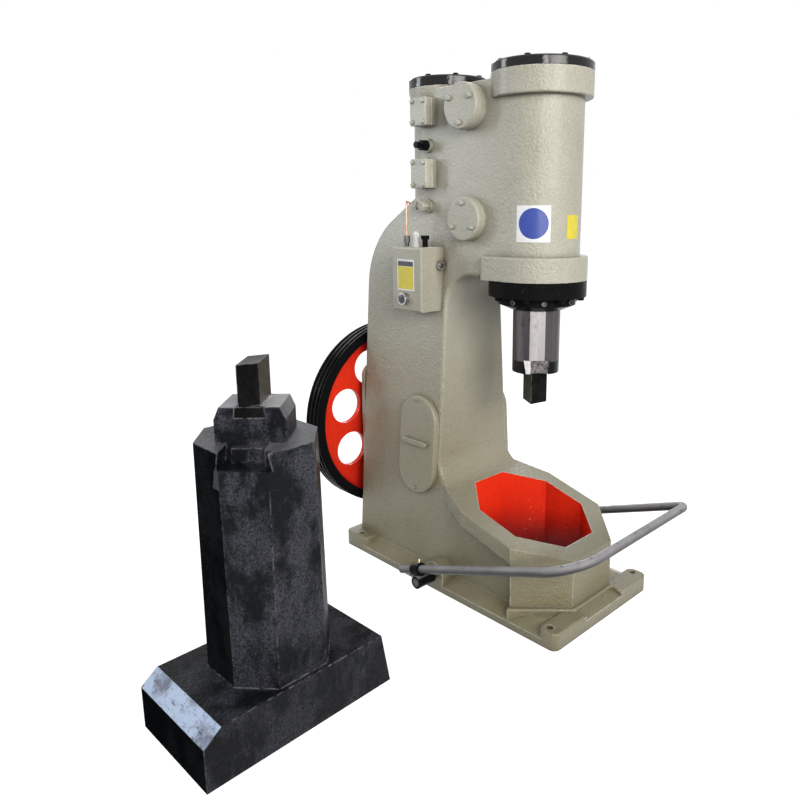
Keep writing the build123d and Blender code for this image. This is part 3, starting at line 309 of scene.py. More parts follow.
def bare_chamfer_with_sky_sheen(name):
    """Worn metal, pale and bluish with a painted sky reflection, with dark dents and scratches left
    by handling.
    """
    made = Finish(name, Specular_IOR_Level=0.3)
    scuff = made.patches(13.0, 0.46, 0.62, 0.0, 0.8, detail=6.0, rough=0.7)
    dent = made.patches(70.0, 0.58, 0.68, detail=6.0, rough=0.75)
    scratch = made.patches(45.0, 0.6, 0.7, detail=5.0, rough=0.7, stretch=(0.4, 2.4, 2.4))
    mark = made.sums("MAXIMUM", dent, scratch)
    # The pale bluish tone is bare metal with a painted sky reflection
    tone = made.over(ANVIL_BARE_AND_SKY_SHEEN, (scuff, ANVIL_SCUFF), (mark, ANVIL))
    hammered = made.noise(90.0, detail=5.0, rough=0.7)
    normal = made.bump(hammered, 0.002, 0.8, made.soft_edges(0.006))
    gloss = made.patches(40.0, 0.3, 0.7, 0.3, 0.55, detail=4.0)
    return made.feed(Base_Color=tone, Roughness=gloss, Normal=normal)


def tube_finish(name):
    """Silver paint on tube: lighter on top, with painted shade below, and handling marks."""
    made = Finish(name, Specular_IOR_Level=0.22)
    # Painted shade below; the paint shows on upward faces
    paint = made.mix(made.patches(12.0, 0.3, 0.7), TUBE, TUBE_DULL)
    mark = made.patches(48.0, 0.6, 0.7, detail=5.0, rough=0.7)
    tone = made.over(TUBE_SHADE_BELOW, (made.upward(-0.25, 0.75), paint), (mark, TUBE_MARK))
    normal = made.bump(made.noise(160.0), 0.0008, 0.4)
    gloss = made.patches(40.0, 0.3, 0.7, 0.28, 0.42)
    return made.feed(Base_Color=tone, Roughness=gloss, Normal=normal)


def bright_plate(name, bright, dull, rough):
    """Turned or plated metal with fine marks and fingerprints."""
    made = Finish(name, Metallic=1.0)
    tone = made.mix(made.patches(120.0, 0.35, 0.7, detail=4.0), bright, dull)
    normal = made.bump(made.noise(400.0, detail=2.0), 0.0003, 0.4, made.soft_edges(0.0008))
    gloss = made.patches(90.0, 0.3, 0.7, rough, rough + 0.15)
    return made.feed(Base_Color=tone, Roughness=gloss, Normal=normal)


def clear_plastic(name):
    """Milky clear moulding with faint flow lines."""
    made = Finish(name, Transmission_Weight=0.5, IOR=1.46)
    tone = made.mix(made.noise(60.0), CLEAR, CLEAR_MILKY)
    normal = made.bump(made.noise(90.0, detail=2.0), 0.0005, 0.3)
    gloss = made.patches(70.0, 0.3, 0.7, 0.12, 0.25)
    return made.feed(Base_Color=tone, Roughness=gloss, Normal=normal)


def film(name, fresh, faded):
    """Coloured film, a little faded and scuffed."""
    made = Finish(name, Coat_Weight=0.2, Coat_Roughness=0.2)
    tone = made.mix(made.patches(45.0, 0.35, 0.75, detail=4.0), fresh, faded)
    normal = made.bump(made.noise(80.0), 0.0005, 0.35)
    gloss = made.patches(60.0, 0.3, 0.7, 0.3, 0.45)
    return made.feed(Base_Color=tone, Roughness=gloss, Normal=normal)


FINISHES = {
    "casting": cast_paint("cast_paint", grain=0.9, lumps=0.35, edge=0.005),
    "cover": cast_paint("cover_paint", grain=0.6, lumps=0.15, edge=0.003),
    "sheet": cast_paint("sheet_paint", grain=0.3, lumps=0.25, edge=0.0025),
    "enamel": enamel("black_enamel", shine=0.03, rough=0.16),
    "cap_enamel": enamel("cap_enamel", shine=0.3, rough=0.07),
    "cap_top": enamel("cap_top", shine=0.4, rough=0.24),
    "red": gloss_red("pit_red", shade=0.9),
    "wheel_red": gloss_red("wheel_red", shade=0.0),
    # Lit and shaded copies of one steel: painted highlight on the flat, painted shade on the side
    # flat
    "flat": machined_steel("ram_flat_highlit", (0.37, 0.355, 0.352), (0.17, 0.162, 0.162), rough=0.36),
    "side_flat": machined_steel(
        "ram_side_flat_shaded", (0.10, 0.097, 0.097), (0.022, 0.021, 0.022), rough=0.42),
    "round": machined_steel("ram_round", (0.125, 0.118, 0.122), (0.022, 0.020, 0.022), rough=0.26),
    "die": forged_black(
        "die_steel", (0.028, 0.0265, 0.022), (0.075, 0.070, 0.058), DIE_TOP,
        shine=0.06, pits=0.3, edge=0.003),
    # Painted shade on the die's darker faces
    "die_shaded": forged_black(
        "die_shaded", (0.004, 0.004, 0.0045), (0.012, 0.012, 0.012), DIE_TOP,
        shine=0.03, pits=0.3, edge=0.003),
    # Bare chamfer with a painted sky reflection
    "bare": bare_chamfer_with_sky_sheen("anvil_bare_sky_sheen"),
    "anvil": forged_black(
        "anvil_black", ANVIL, ANVIL_WORN_AND_SHEEN, ANVIL_TOP_DUST_AND_SHEEN, shine=0.06, pits=1.0, edge=0.006),
    # Painted shade on the anvil's faces on its shaded side
    "anvil_shaded_side": forged_black(
        "anvil_shaded_side", (0.006, 0.007, 0.008), (0.018, 0.021, 0.024), ANVIL_TOP_DUST_AND_SHEEN,
        shine=0.0, pits=0.5, edge=0.006),
    "packing": forged_black(
        "anvil_packing", ANVIL, ANVIL_WORN_AND_SHEEN, ANVIL_WORN_AND_SHEEN, shine=0.06, pits=0.9, edge=0.0005),
    "tube": tube_finish("tube_silver"),
    "plated": bright_plate("plated", (0.52, 0.51, 0.50), (0.30, 0.29, 0.285), rough=0.2),
    "wedge": bright_plate("wedge_steel", (0.62, 0.58, 0.58), (0.38, 0.35, 0.35), rough=0.35),
    "tenon": bright_plate("die_tenon", (0.20, 0.19, 0.188), (0.018, 0.017, 0.017), rough=0.35),
    "dark_plate": bright_plate(
        "dark_plate", (0.11, 0.108, 0.105), (0.05, 0.048, 0.046), rough=0.3),
    "brass": bright_plate("brass", (0.74, 0.60, 0.33), (0.50, 0.39, 0.19), rough=0.25),
    "copper": bright_plate("copper", (0.80, 0.42, 0.30), (0.55, 0.27, 0.18), rough=0.25),
    "clear": clear_plastic("clear_plastic"),
    "white": film("film_white", (0.80, 0.80, 0.84), (0.70, 0.70, 0.74)),
    "blue": film("film_blue", (0.020, 0.048, 0.30), (0.03, 0.065, 0.34)),
    "yellow": film("film_yellow", (0.68, 0.58, 0.035), (0.58, 0.49, 0.04)),
    "black_film": film("film_black", (0.014, 0.014, 0.016), (0.03, 0.03, 0.033)),
}

# The finish of each CAD node that has one finish all over
NODE_FINISH = {
    "cover": ["upper_valve_cover_right", "upper_valve_cover_left", "lower_valve_cover_right",
              "lower_valve_cover_left", "upper_port_cover", "lower_port_cover",
              "inspection_cover_right", "inspection_cover_left", "inspection_handle_right",
              "inspection_handle_left", "rear_bearing_cover", "pipe_fitting"],
    "sheet": ["oil_box"],
    "enamel": ["gland_flange", "gland_ring", "check_valve", "oil_knob", "treadle_clamp_right",
               "treadle_clamp_left"],
    "anvil": ["anvil_cap", "anvil_wedge"],
    "tube": ["treadle_bar", "treadle_shaft"],
    "wedge": ["upper_die_wedge", "lower_die_wedge", "crankshaft"],
    "plated": ["oil_sight_plug", "oil_side_plug"],
    "dark_plate": ["oil_ferrule"],
    "copper": ["oil_pipe"],
    "clear": ["oil_dome"],
}

# Places in the model that the finishes and pieces below are set out from, in metres and radians
RAM_X = 0.180
RAM_FOOT_Z = 0.7195
RAM_CYLINDER_R = 0.1224
COMPRESSOR_X = -0.192
PIT_HALF_X = 0.186
PIT_HALF_Y = 0.169
PIT_FLOOR_Z = 0.02
PIT_TOP_Z = 0.34
WHEEL_Z = 0.447
WEB_R = 0.309
ANVIL_PLACE = Vector((0.084, -0.895, 0))
ANVIL_BASE_TOP_Z = 0.2
SLOT_TURN = radians(-43.3)
SLOT_ALONG = Vector((cos(SLOT_TURN), sin(SLOT_TURN), 0))
SLOT_ACROSS = Vector((-sin(SLOT_TURN), cos(SLOT_TURN), 0))
FLAT_AZIMUTHS = (radians(-47), radians(133))
SIDE_FLAT_AZIMUTHS = (radians(-17), radians(163))
FLAT_SLACK = radians(2)


def paint_faces(name, keys, choose):
    """Gives a CAD node its finishes, and each face the one that choose counts out for it."""
    mesh = nodes[name].data
    mesh.materials.clear()
    for key in keys:
        mesh.materials.append(FINISHES[key])
    for face in mesh.polygons:
        face.material_index = choose(face)


def all_over(face):
    return 0


def in_pit(face):
    """The well's inner walls are red, and the rest of the casting is not."""
    x, y, z = face.center
    inside = abs(x - RAM_X) < PIT_HALF_X and abs(y) < PIT_HALF_Y and PIT_FLOOR_Z < z < PIT_TOP_Z
    inward = face.normal.x * (x - RAM_X) + face.normal.y * y < 0
    upright = abs(face.normal.z) < 0.8
    return int(inside and inward and upright)


def on_web(face):
    """The wheel is red inside its black rim."""
    return int(hypot(face.center.y, face.center.z - WHEEL_Z) < WEB_R)


def on_flat(face):
    """The ram's two pairs of flats each have a finish apart from the round: the front flats a
    painted highlight, the side flats painted shade.
    """
    azimuth = atan2(face.normal.y, face.normal.x)
    upright = abs(face.normal.z) < 0.1
    for key, flats in ((1, FLAT_AZIMUTHS), (2, SIDE_FLAT_AZIMUTHS)):
        if upright and any(abs(azimuth - flat) < FLAT_SLACK for flat in flats):
            return key
    return 0


def on_anvil(face):
    """The sloping end of the base is bare metal with a painted sky reflection, and the faces on
    that side have painted shade.
    """
    sloping = 0.25 < face.normal.z < 0.95
    if sloping and face.center.z < ANVIL_BASE_TOP_Z:
        return 1
    return 2 if face.normal.y < -0.9 else 0


def on_upper_die(face):
    """The tenon is bright where it was fitted, and the die's front has painted shade."""
    if face.center.z > RAM_FOOT_Z:
        return 2
    return int(face.normal.x > 0.5)


def on_lower_die(face):
    """The die's ends, along the slot, have painted shade."""
    return int(abs(SLOT_ALONG.dot(face.normal)) > 0.7)


def on_cap_top(face):
    """A cap's top is duller than its rim."""
    return int(face.normal.z > 0.9)


for key, names in NODE_FINISH.items():
    for name in names:
        paint_faces(name, (key,), all_over)
paint_faces("frame_casting", ("casting", "red"), in_pit)
paint_faces("flywheel", ("enamel", "wheel_red"), on_web)
paint_faces("ram", ("round", "flat", "side_flat"), on_flat)
paint_faces("anvil_block", ("anvil", "bare", "anvil_shaded_side"), on_anvil)
paint_faces("ram_cylinder_cap", ("cap_enamel", "cap_top"), on_cap_top)
paint_faces("compressor_cap", ("cap_enamel", "cap_top"), on_cap_top)
paint_faces("lower_die", ("die", "die_shaded"), on_lower_die)
paint_faces("upper_die", ("die", "die_shaded", "tenon"), on_upper_die)


# Fasteners: how far they sink into what carries them, and the thickness of a washer
SINK = 0.0006
WASHER = 0.0018
SMOOTH_ANGLE = radians(30)
SIDES = (("right", -1), ("left", 1))
UP, DOWN = (0, 0, 1), (0, 0, -1)
FRONT, BACK, RIGHT = (1, 0, 0), (-1, 0, 0), (0, -1, 0)


def facing(place, direction, turn):
    """A matrix at a place, with its own Z axis along a direction."""
    spin = Vector(direction).to_track_quat("Z", "Y").to_matrix().to_4x4()
    return Matrix.Translation(place) @ spin @ Matrix.Rotation(turn, 4, "Z")


def skin(mesh, loops, count):
    """Faces between one loop of points and the next. A loop of one point closes an end."""
    for low, high in zip(loops, loops[1:]):
        for step in range(count):
            after = step + 1
            corners = (low[step % len(low)], low[after % len(low)],
                       high[after % len(high)], high[step % len(high)])
            mesh.faces.new(list(dict.fromkeys(corners)))


def turned(mesh, profile, matrix, sides):
    """Adds a profile of radius and height, turned about the matrix's own Z axis."""
    rings = []
    for radius, height in profile:
        ring = []
        for step in range(sides if radius else 1):
            angle = 2 * pi * step / sides
            point = Vector((radius * cos(angle), radius * sin(angle), height))
            ring.append(mesh.verts.new(matrix @ point))
        rings.append(ring)
    skin(mesh, rings, sides)


def hex_head(mesh, matrix, across, height):
    """A chamfered hexagon on its washer."""
    corner = across / sqrt(3)
    rim = 0.68 * across
    turned(mesh, [(0, -SINK), (rim, -SINK), (rim, WASHER), (0.94 * rim, 1.25 * WASHER),
                  (0, 1.25 * WASHER)], matrix, sides=24)
    turned(mesh, [(0, 0), (corner, 0), (corner, 0.8 * height), (0.85 * corner, height),
                  (0, height)], matrix, sides=6)


def socket_head(mesh, matrix, across, height):
    """A round head with a recess for a key."""
    rim = across / 2
    turned(mesh, [(0, -SINK), (rim, -SINK), (rim, 0.8 * height), (0.88 * rim, height),
                  (0.6 * rim, height), (0.55 * rim, 0.3 * height), (0, 0.3 * height)],
           matrix, sides=20)


def glass_button(mesh, matrix, across, height):
    """A low lens in its seat."""
    rim = across / 2
    turned(mesh, [(0, -SINK), (rim, -SINK), (rim, 0.3 * height), (0.8 * rim, 0.75 * height),
                  (0.4 * rim, height), (0, height)], matrix, sides=28)


def stud(mesh, matrix, across, height):
    """A thin pin with a collar at its foot."""
    rim = across / 2
    turned(mesh, [(0, -SINK), (1.7 * rim, -SINK), (1.7 * rim, 0.2 * height), (rim, 0.25 * height),
                  (rim, 0.9 * height), (0.6 * rim, height), (0, height)], matrix, sides=16)


def add_piece(name, mesh, key, body):
    bmesh.ops.recalc_face_normals(mesh, faces=mesh.faces[:])
    for face in mesh.faces:
        face.smooth = True
    data = bpy.data.meshes.new(name)
    mesh.to_mesh(data)
    mesh.free()
    data.set_sharp_from_angle(angle=SMOOTH_ANGLE)
    data.materials.append(FINISHES[key])
    made = bpy.data.objects.new(name, data)
    scene.collection.objects.link(made)
    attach(made, body)


def fasteners(name, head, size, places, key, body="frame"):
    """One piece of equal heads, of a size across and high, each turned by chance."""
    mesh = bmesh.new()
    for place, direction in places:
        head(mesh, facing(place, direction, chance.uniform(0, pi / 3)), *size)
    add_piece(name, mesh, key, body)


def circle(x, z, radius, count, start, direction):
    """Places on a level circle about (x, 0), at a height."""
    angles = [radians(start + 360 * step / count) for step in range(count)]
    return [((x + radius * cos(a), radius * sin(a), z), direction) for a in angles]


def spokes(z, radius, azimuths):
    """Places round the ram's axis, each facing outwards."""
    places = []
    for azimuth in azimuths:
        out = Vector((cos(radians(azimuth)), sin(radians(azimuth)), 0))
        places.append((Vector((RAM_X, 0, z)) + radius * out, out))
    return places


# Valve covers: level, height, face and bolt angles. One bolt is lowest on the upper pair and
# highest on the lower pair.
VALVE_X = 0.015
VALVE_BOLT_R = 0.0465
VALVE_BOLT = (0.0135, 0.0085)
VALVE_COVERS = (
    ("upper", 1.4898, 0.1664, (30, 150, 270)),
    ("lower", 1.1732, 0.1544, (90, 210, 330)),
)

# Inspection covers, which lean with the column's flanks
INSPECTION_X = -0.166
INSPECTION_SCREW_Z = (0.292, 0.588)
INSPECTION_SCREW = (0.0105, 0.005)
INSPECTION_PROUD = 0.02
FLANK_FOOT_Y = 0.194
FLANK_LEAN = 0.068


def add_side_covers():
    for side, sign in SIDES:
        for level, z, y, angles in VALVE_COVERS:
            places = []
            for angle in angles:
                across = VALVE_X + VALVE_BOLT_R * cos(radians(angle))
                up = z + VALVE_BOLT_R * sin(radians(angle))
                places.append(((across, sign * y, up), (0, sign, 0)))
            fasteners(f"{level}_valve_bolts_{side}", hex_head, VALVE_BOLT, places,
                      "cover")
        lean = Vector((0, sign, FLANK_LEAN)).normalized()
        places = []
        for z in INSPECTION_SCREW_Z:
            seat = Vector((INSPECTION_X, sign * (FLANK_FOOT_Y - FLANK_LEAN * z), z))
            places.append((seat + INSPECTION_PROUD * lean, lean))
        fasteners(f"inspection_screws_{side}", socket_head, INSPECTION_SCREW, places,
                  "cover")


# Port covers: level, height, and how far up and down the four bolts stand
PORT_X = -0.170
PORT_FACE_Y = -0.158
PORT_BOLT_X = 0.024
PORT_BOLT = (0.0105, 0.007)
PORT_COVERS = (("upper", 1.4898, 0.030), ("lower", 1.308, 0.033))


def add_port_bolts():
    for level, z, rise in PORT_COVERS:
        places = []
        for across in (-PORT_BOLT_X, PORT_BOLT_X):
            for up in (-rise, rise):
                places.append(((PORT_X + across, PORT_FACE_Y, z + up), RIGHT))
        fasteners(f"{level}_port_bolts", hex_head, PORT_BOLT, places, "cover")


# Cylinder caps, gland and rear bearing
CAP_BOLT = (0.0155, 0.006)
GLAND_BOLT = (0.0185, 0.011)
RING_SCREW = (0.0165, 0.006)
GRUB_SCREW = (0.009, 0.003)
REAR_BOLT = (0.017, 0.0075)
RING_SCREW_AZIMUTHS = [-42 + 45 * step for step in range(8)]
GRUB_SCREW_AZIMUTHS = (-67, 113)
REAR_FACE_X = -0.485
REAR_BOLT_Y = (-0.1325, 0, 0.1325)
REAR_BOLT_Z = (0.261, WHEEL_Z, 0.633)


def add_round_fasteners():
    ram_cap = circle(RAM_X, z=1.600, radius=0.1275, count=8, start=20, direction=UP)
    compressor_cap = circle(COMPRESSOR_X, z=1.597, radius=0.111, count=8, start=10, direction=UP)
    gland = circle(RAM_X, z=0.950, radius=0.131, count=8, start=-155, direction=DOWN)
    ring = spokes(z=0.937, radius=0.115, azimuths=RING_SCREW_AZIMUTHS)
    grubs = spokes(z=0.978, radius=0.146, azimuths=GRUB_SCREW_AZIMUTHS)
    rear = []
    for y in REAR_BOLT_Y:
        for z in REAR_BOLT_Z:
            if y or z != WHEEL_Z:
                rear.append(((REAR_FACE_X, y, z), BACK))
    fasteners("ram_cap_bolts", hex_head, CAP_BOLT, ram_cap, "enamel")
    fasteners("compressor_cap_bolts", hex_head, CAP_BOLT, compressor_cap, "enamel")
    fasteners("gland_bolts", hex_head, GLAND_BOLT, gland, "enamel")
    fasteners("gland_ring_screws", socket_head, RING_SCREW, ring, "dark_plate")
    fasteners("gland_grub_screws", socket_head, GRUB_SCREW, grubs, "enamel")
    fasteners("rear_cover_bolts", hex_head, REAR_BOLT, rear, "cover")


# Lubricator: the dark glass of its two plugs
SIGHT_GLASS = (0.029, 0.003)
SIGHT_PLACE = (-0.172, -0.232, 0.927)
SIDE_GLASS = (0.015, 0.002)
SIDE_PLACE = (-0.081, -0.143, 1.030)


def add_plug_glass():
    fasteners("sight_glass", glass_button, SIGHT_GLASS, [(SIGHT_PLACE, RIGHT)],
              "black_film")
    fasteners("side_glass", glass_button, SIDE_GLASS, [(SIDE_PLACE, FRONT)],
              "black_film")


# Clamp studs, which ride on the treadle
TREADLE_LEAN = radians(19.9)
TREADLE_PIVOT_X = -0.025
TREADLE_PIVOT_Z = 0.050
CLAMP_Y = 0.297
CLAMP_RISE = 0.036
STUD = (0.0045, 0.012)
STUD_LEAN = radians(28)
STUD_REACH = 0.021


def add_clamp_studs():
    up = Vector((-sin(TREADLE_LEAN), 0, cos(TREADLE_LEAN)))
    for side, sign in SIDES:
        ring = Vector((TREADLE_PIVOT_X, sign * CLAMP_Y, TREADLE_PIVOT_Z)) + CLAMP_RISE * up
        out = cos(STUD_LEAN) * up - sin(STUD_LEAN) * Vector((0, sign, 0))
        out = out.normalized()
        fasteners(f"clamp_stud_{side}", stud, STUD, [(ring + STUD_REACH * out, out)],
                  "brass", "treadle")


# The anvil's slots: packing on the floor of the lower one, the cap's nose above it, and the
# die's foot in the upper one. Reaches are along the slot from the anvil's middle.
SLOT_FLARE = 0.16
SLOT_TOP = 0.697
SLOT_HALF = 0.054
SLOT_DEEP = 0.078
PACKING_TOP = 0.040
PACKING_REACH = 0.2
PACKING_OVERLAP = 0.006
PACKING_PROUD = 0.0004
CAP_END = 0.0585
CAP_TOP = 0.778
NOSE_SIDES = (-0.040, 0.038)
NOSE_DROP = 0.006
NOSE_REACH = 0.078
HEEL_HALF = 0.031
HEEL_DEEP = 0.024
HEEL_REACHES = (0.0505, 0.0589)

# What counts as an upright side of the anvil's column, and when two faces are on the same side
SIDE_REACH = 0.1
SIDE_TILT = 0.06
SIDE_AREA = 0.0005
SIDE_Z = 0.3
SAME_SIDE = 0.95


def slot_bar(mesh, section, start, end):
    """A bar along the slot, of a section in width and height."""
    rings = []
    for reach in (start, end):
        base = ANVIL_PLACE + reach * SLOT_ALONG
        ring = []
        for across, z in section:
            ring.append(mesh.verts.new(base + across * SLOT_ACROSS + Vector((0, 0, z))))
        mesh.faces.new(ring)
        rings.append(ring)
    skin(mesh, rings, len(section))


def dovetail(half, low, high, top):
    """The part of a dovetail between two depths below its top, as width and height."""
    wide, narrow = half + low * SLOT_FLARE, half + high * SLOT_FLARE
    return [(-wide, top - low), (wide, top - low), (narrow, top - high), (-narrow, top - high)]


def anvil_sides():
    """A point and the normal of each upright side of the anvil's column."""
    sides = []
    for face in nodes["anvil_block"].data.polygons:
        outward = (face.center - ANVIL_PLACE).dot(face.normal) > SIDE_REACH
        upright = abs(face.normal.z) < SIDE_TILT
        large = face.area > SIDE_AREA and face.center.z > SIDE_Z
        fresh = all(face.normal.dot(normal) < SAME_SIDE for _, normal in sides)
        if outward and upright and large and fresh:
            sides.append((face.center.copy(), face.normal.copy()))
    return sides


def trim_to_anvil(mesh):
    """Cuts what stands out of the anvil's upright sides, and closes each cut."""
    for place, normal in anvil_sides():
        parts = mesh.verts[:] + mesh.edges[:] + mesh.faces[:]
        made = bmesh.ops.bisect_plane(mesh, geom=parts, plane_co=place + PACKING_PROUD * normal,
                                      plane_no=normal, clear_outer=True)
        edges = [part for part in made["geom_cut"] if isinstance(part, bmesh.types.BMEdge)]
        if edges:
            bmesh.ops.holes_fill(mesh, edges=edges)


def add_slot_pieces():
    packing, nose, foot = bmesh.new(), bmesh.new(), bmesh.new()
    bed = dovetail(SLOT_HALF + PACKING_OVERLAP, SLOT_DEEP + PACKING_OVERLAP, PACKING_TOP, SLOT_TOP)
    left, right = NOSE_SIDES
    low, high = SLOT_TOP - PACKING_TOP, SLOT_TOP - NOSE_DROP
    tongue = [(left, low), (right, low), (right, high), (left, high)]
    heel = dovetail(HEEL_HALF, HEEL_DEEP, 0.0, CAP_TOP)
    for way in (-1, 1):
        slot_bar(packing, bed, way * CAP_END, way * PACKING_REACH)
        slot_bar(nose, tongue, way * CAP_END, way * NOSE_REACH)
        slot_bar(foot, heel, *[way * reach for reach in HEEL_REACHES])
    trim_to_anvil(packing)
    add_piece("anvil_packing", packing, "packing", "frame")
    add_piece("anvil_cap_nose", nose, "anvil", "frame")
    # The die's foot takes the die's painted shade
    add_piece("lower_die_foot", foot, "die_shaded", "frame")


# Blank films in place of the signs: a lift for each, and a higher one for what lies on another
FILM_LIFT = 0.0004
OVER_LIFT = 0.0006
FILM_RINGS = 6
EDGE_STEPS = 10
DISC_STEPS = 40
OIL_BOX_FACE_Y = -0.218
OIL_BOX_FILM_X = -0.166


def box_outline(width, height):
    """Points round a rectangle, in order."""
    corners = [(-0.5, -0.5), (0.5, -0.5), (0.5, 0.5), (-0.5, 0.5)]
    points = []
    for (x0, y0), (x1, y1) in zip(corners, corners[1:] + corners[:1]):
        for step in range(EDGE_STEPS):
            share = step / EDGE_STEPS
            points.append(((x0 + (x1 - x0) * share) * width, (y0 + (y1 - y0) * share) * height))
    return points


def disc_outline(width):
    """Points round a disc, in order."""
    angles = [2 * pi * step / DISC_STEPS for step in range(DISC_STEPS)]
    return [(0.5 * width * cos(a), 0.5 * width * sin(a)) for a in angles]


def add_film(name, key, outline, lay, lift):
    """A thin closed film on a surface, in rings from its middle to its edge and back below."""
    mesh = bmesh.new()
    levels = [(ring / FILM_RINGS, lift) for ring in range(1, FILM_RINGS + 1)]
    levels += [(ring / FILM_RINGS, -SINK) for ring in range(FILM_RINGS, 0, -1)]
    loops = [[mesh.verts.new(lay(0, 0, lift))]]
    for share, level in levels:
        loops.append([mesh.verts.new(lay(a * share, b * share, level)) for a, b in outline])
    loops.append([mesh.verts.new(lay(0, 0, -SINK))])
    skin(mesh, loops, len(outline))
    add_piece(name, mesh, key, "frame")


def on_cylinder(azimuth, z):
    """Lays a film on the ram cylinder about a point."""
    def lay(along, up, lift):
        angle = radians(azimuth) + along / RAM_CYLINDER_R
        reach = RAM_CYLINDER_R + lift
        return Vector((RAM_X + reach * cos(angle), reach * sin(angle), z + up))
    return lay


def on_oil_box(z):
    """Lays a film on the lubricator's face about a height."""
    def lay(along, up, lift):
        return Vector((OIL_BOX_FILM_X + along, OIL_BOX_FACE_Y - lift, z + up))
    return lay


def add_films():
    add_film("white_film", "white", box_outline(0.098, 0.101), on_cylinder(-59, 1.161), FILM_LIFT)
    add_film("blue_film", "blue", disc_outline(0.085), on_cylinder(-58.6, 1.162), OVER_LIFT)
    add_film("yellow_film", "yellow", box_outline(0.050, 0.066), on_cylinder(0, 1.152), FILM_LIFT)
    add_film("box_film", "white", box_outline(0.078, 0.096), on_oil_box(1.001), FILM_LIFT)
    add_film("box_film_yellow", "yellow", box_outline(0.070, 0.070), on_oil_box(0.992), OVER_LIFT)
    add_film("box_film_black", "black_film", box_outline(0.070, 0.015), on_oil_box(1.0355),
             OVER_LIFT)


def add_camera():
    data = bpy.data.cameras.new("camera")
    data.sensor_width = SENSOR_MM
    data.lens = SENSOR_MM * FOCAL_PX / PHOTO_SIZE
    data.shift_x = (PHOTO_SIZE / 2 - CENTRE_U) / PHOTO_SIZE
    data.shift_y = (CENTRE_V - PHOTO_SIZE / 2) / PHOTO_SIZE
    camera = bpy.data.objects.new("camera", data)
    scene.collection.objects.link(camera)
    camera.location = CAMERA_PLACE
    look = Vector((
        -cos(CAMERA_YAW) * cos(CAMERA_PITCH),
        sin(CAMERA_YAW) * cos(CAMERA_PITCH),
        -sin(CAMERA_PITCH),
    ))
    camera.rotation_euler = look.to_track_quat("-Z", "Y").to_euler()
    scene.camera = camera


# Floor and world, which look white and give a plain light
FLOOR_SIZE = 60
FLOOR_TONE = (0.17, 0.16, 0.135)
FLOOR_SEEN = (0.88, 0.88, 0.88)
FLOOR_GLOW = 0.74
SKY = (0.94, 0.97, 1.0)
SKY_LEVEL = 0.36


def seen_ray(tree):
    """One where the ray comes from the camera, a reflection or clear plastic."""
    path = tree.nodes.new("ShaderNodeLightPath")
    total = path.outputs["Is Camera Ray"]
    for label in ("Is Glossy Ray", "Is Transmission Ray"):
        most = tree.nodes.new("ShaderNodeMath")
        most.operation = "MAXIMUM"
        tree.links.new(total, most.inputs[0])
        tree.links.new(path.outputs[label], most.inputs[1])
        total = most.outputs["Value"]
    return total


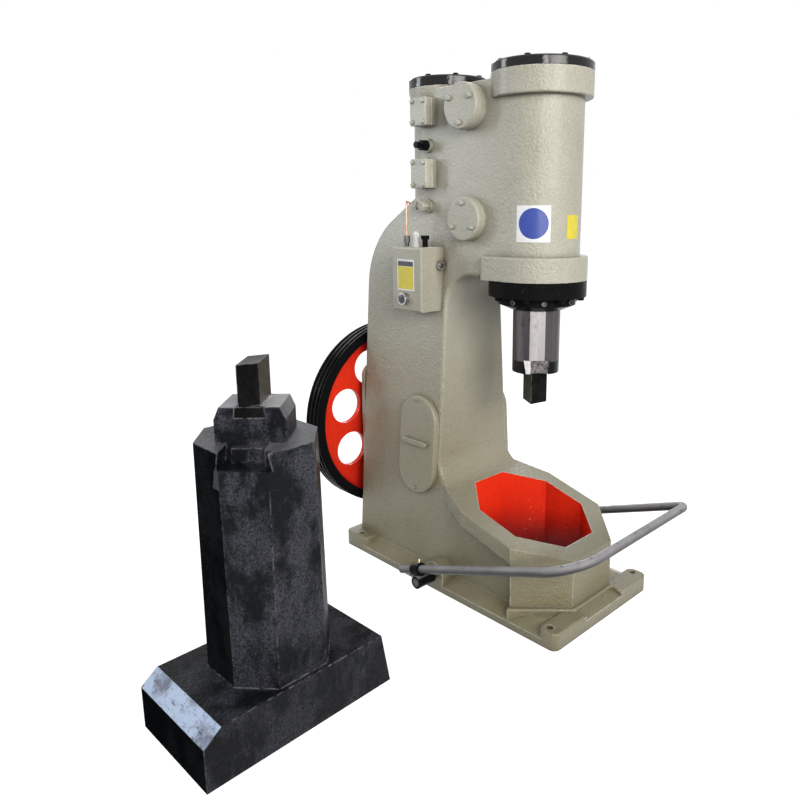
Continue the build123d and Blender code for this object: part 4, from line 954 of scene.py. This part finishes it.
def add_floor():
    mesh = bpy.data.meshes.new("floor")
    half = FLOOR_SIZE / 2
    corners = [(-half, -half, 0), (half, -half, 0), (half, half, 0), (-half, half, 0)]
    mesh.from_pydata(corners, [], [(0, 1, 2, 3)])
    floor = bpy.data.objects.new("floor", mesh)
    scene.collection.objects.link(floor)
    material = bpy.data.materials.new("floor")
    material.use_nodes = True
    tree = material.node_tree
    tree.nodes.clear()
    plain = tree.nodes.new("ShaderNodeBsdfDiffuse")
    plain.inputs["Color"].default_value = (*FLOOR_TONE, 1)
    white = tree.nodes.new("ShaderNodeBsdfDiffuse")
    white.inputs["Color"].default_value = (*FLOOR_SEEN, 1)
    glow = tree.nodes.new("ShaderNodeEmission")
    glow.inputs["Strength"].default_value = FLOOR_GLOW
    lit = tree.nodes.new("ShaderNodeAddShader")
    chosen = tree.nodes.new("ShaderNodeMixShader")
    output = tree.nodes.new("ShaderNodeOutputMaterial")
    tree.links.new(white.outputs[0], lit.inputs[0])
    tree.links.new(glow.outputs[0], lit.inputs[1])
    tree.links.new(seen_ray(tree), chosen.inputs[0])
    tree.links.new(plain.outputs[0], chosen.inputs[1])
    tree.links.new(lit.outputs[0], chosen.inputs[2])
    tree.links.new(chosen.outputs[0], output.inputs["Surface"])
    mesh.materials.append(material)


def add_world():
    world = bpy.data.worlds.new("studio")
    scene.world = world
    world.use_nodes = True
    tree = world.node_tree
    tree.nodes.clear()
    soft = tree.nodes.new("ShaderNodeBackground")
    soft.inputs["Color"].default_value = (*SKY, 1)
    soft.inputs["Strength"].default_value = SKY_LEVEL
    white = tree.nodes.new("ShaderNodeBackground")
    white.inputs["Color"].default_value = (1, 1, 1, 1)
    chosen = tree.nodes.new("ShaderNodeMixShader")
    output = tree.nodes.new("ShaderNodeOutputWorld")
    tree.links.new(seen_ray(tree), chosen.inputs[0])
    tree.links.new(soft.outputs[0], chosen.inputs[1])
    tree.links.new(white.outputs[0], chosen.inputs[2])
    tree.links.new(chosen.outputs[0], output.inputs["Surface"])


# Lamps: name, place, aim, size, watts, colour and spread in degrees
LAMPS = (
    ("front_lamp", (3.9, -1.2, 2.3), (0.1, 0.0, 1.3), (2.6, 1.6), 34, (1.0, 0.97, 0.92), 80),
    ("near_lamp", (3.0, -2.75, 2.0), (0.1, 0.0, 1.1), (0.7, 1.8), 11, (1.0, 0.98, 0.95), 80),
    ("window_lamp", (-2.9, -2.3, 2.2), (0.1, -0.1, 1.45), (0.9, 2.0), 6, (0.86, 0.93, 1.0), 60),
    ("rear_lamp", (-3.2, 3.0, 2.4), (0.0, 0.0, 1.0), (2.0, 2.0), 16, (0.95, 0.97, 1.0), 80),
)


def add_lamp(name, place, aim, size, power, colour, spread):
    data = bpy.data.lights.new(name, "AREA")
    data.shape = "RECTANGLE"
    data.size, data.size_y = size
    data.energy = power
    data.color = colour
    data.spread = radians(spread)
    lamp = bpy.data.objects.new(name, data)
    scene.collection.objects.link(lamp)
    lamp.location = place
    lamp.rotation_euler = (Vector(aim) - Vector(place)).to_track_quat("-Z", "Y").to_euler()


add_side_covers()
add_port_bolts()
add_round_fasteners()
add_plug_glass()
add_clamp_studs()
add_slot_pieces()
add_films()
add_camera()
add_floor()
add_world()
for lamp in LAMPS:
    add_lamp(*lamp)
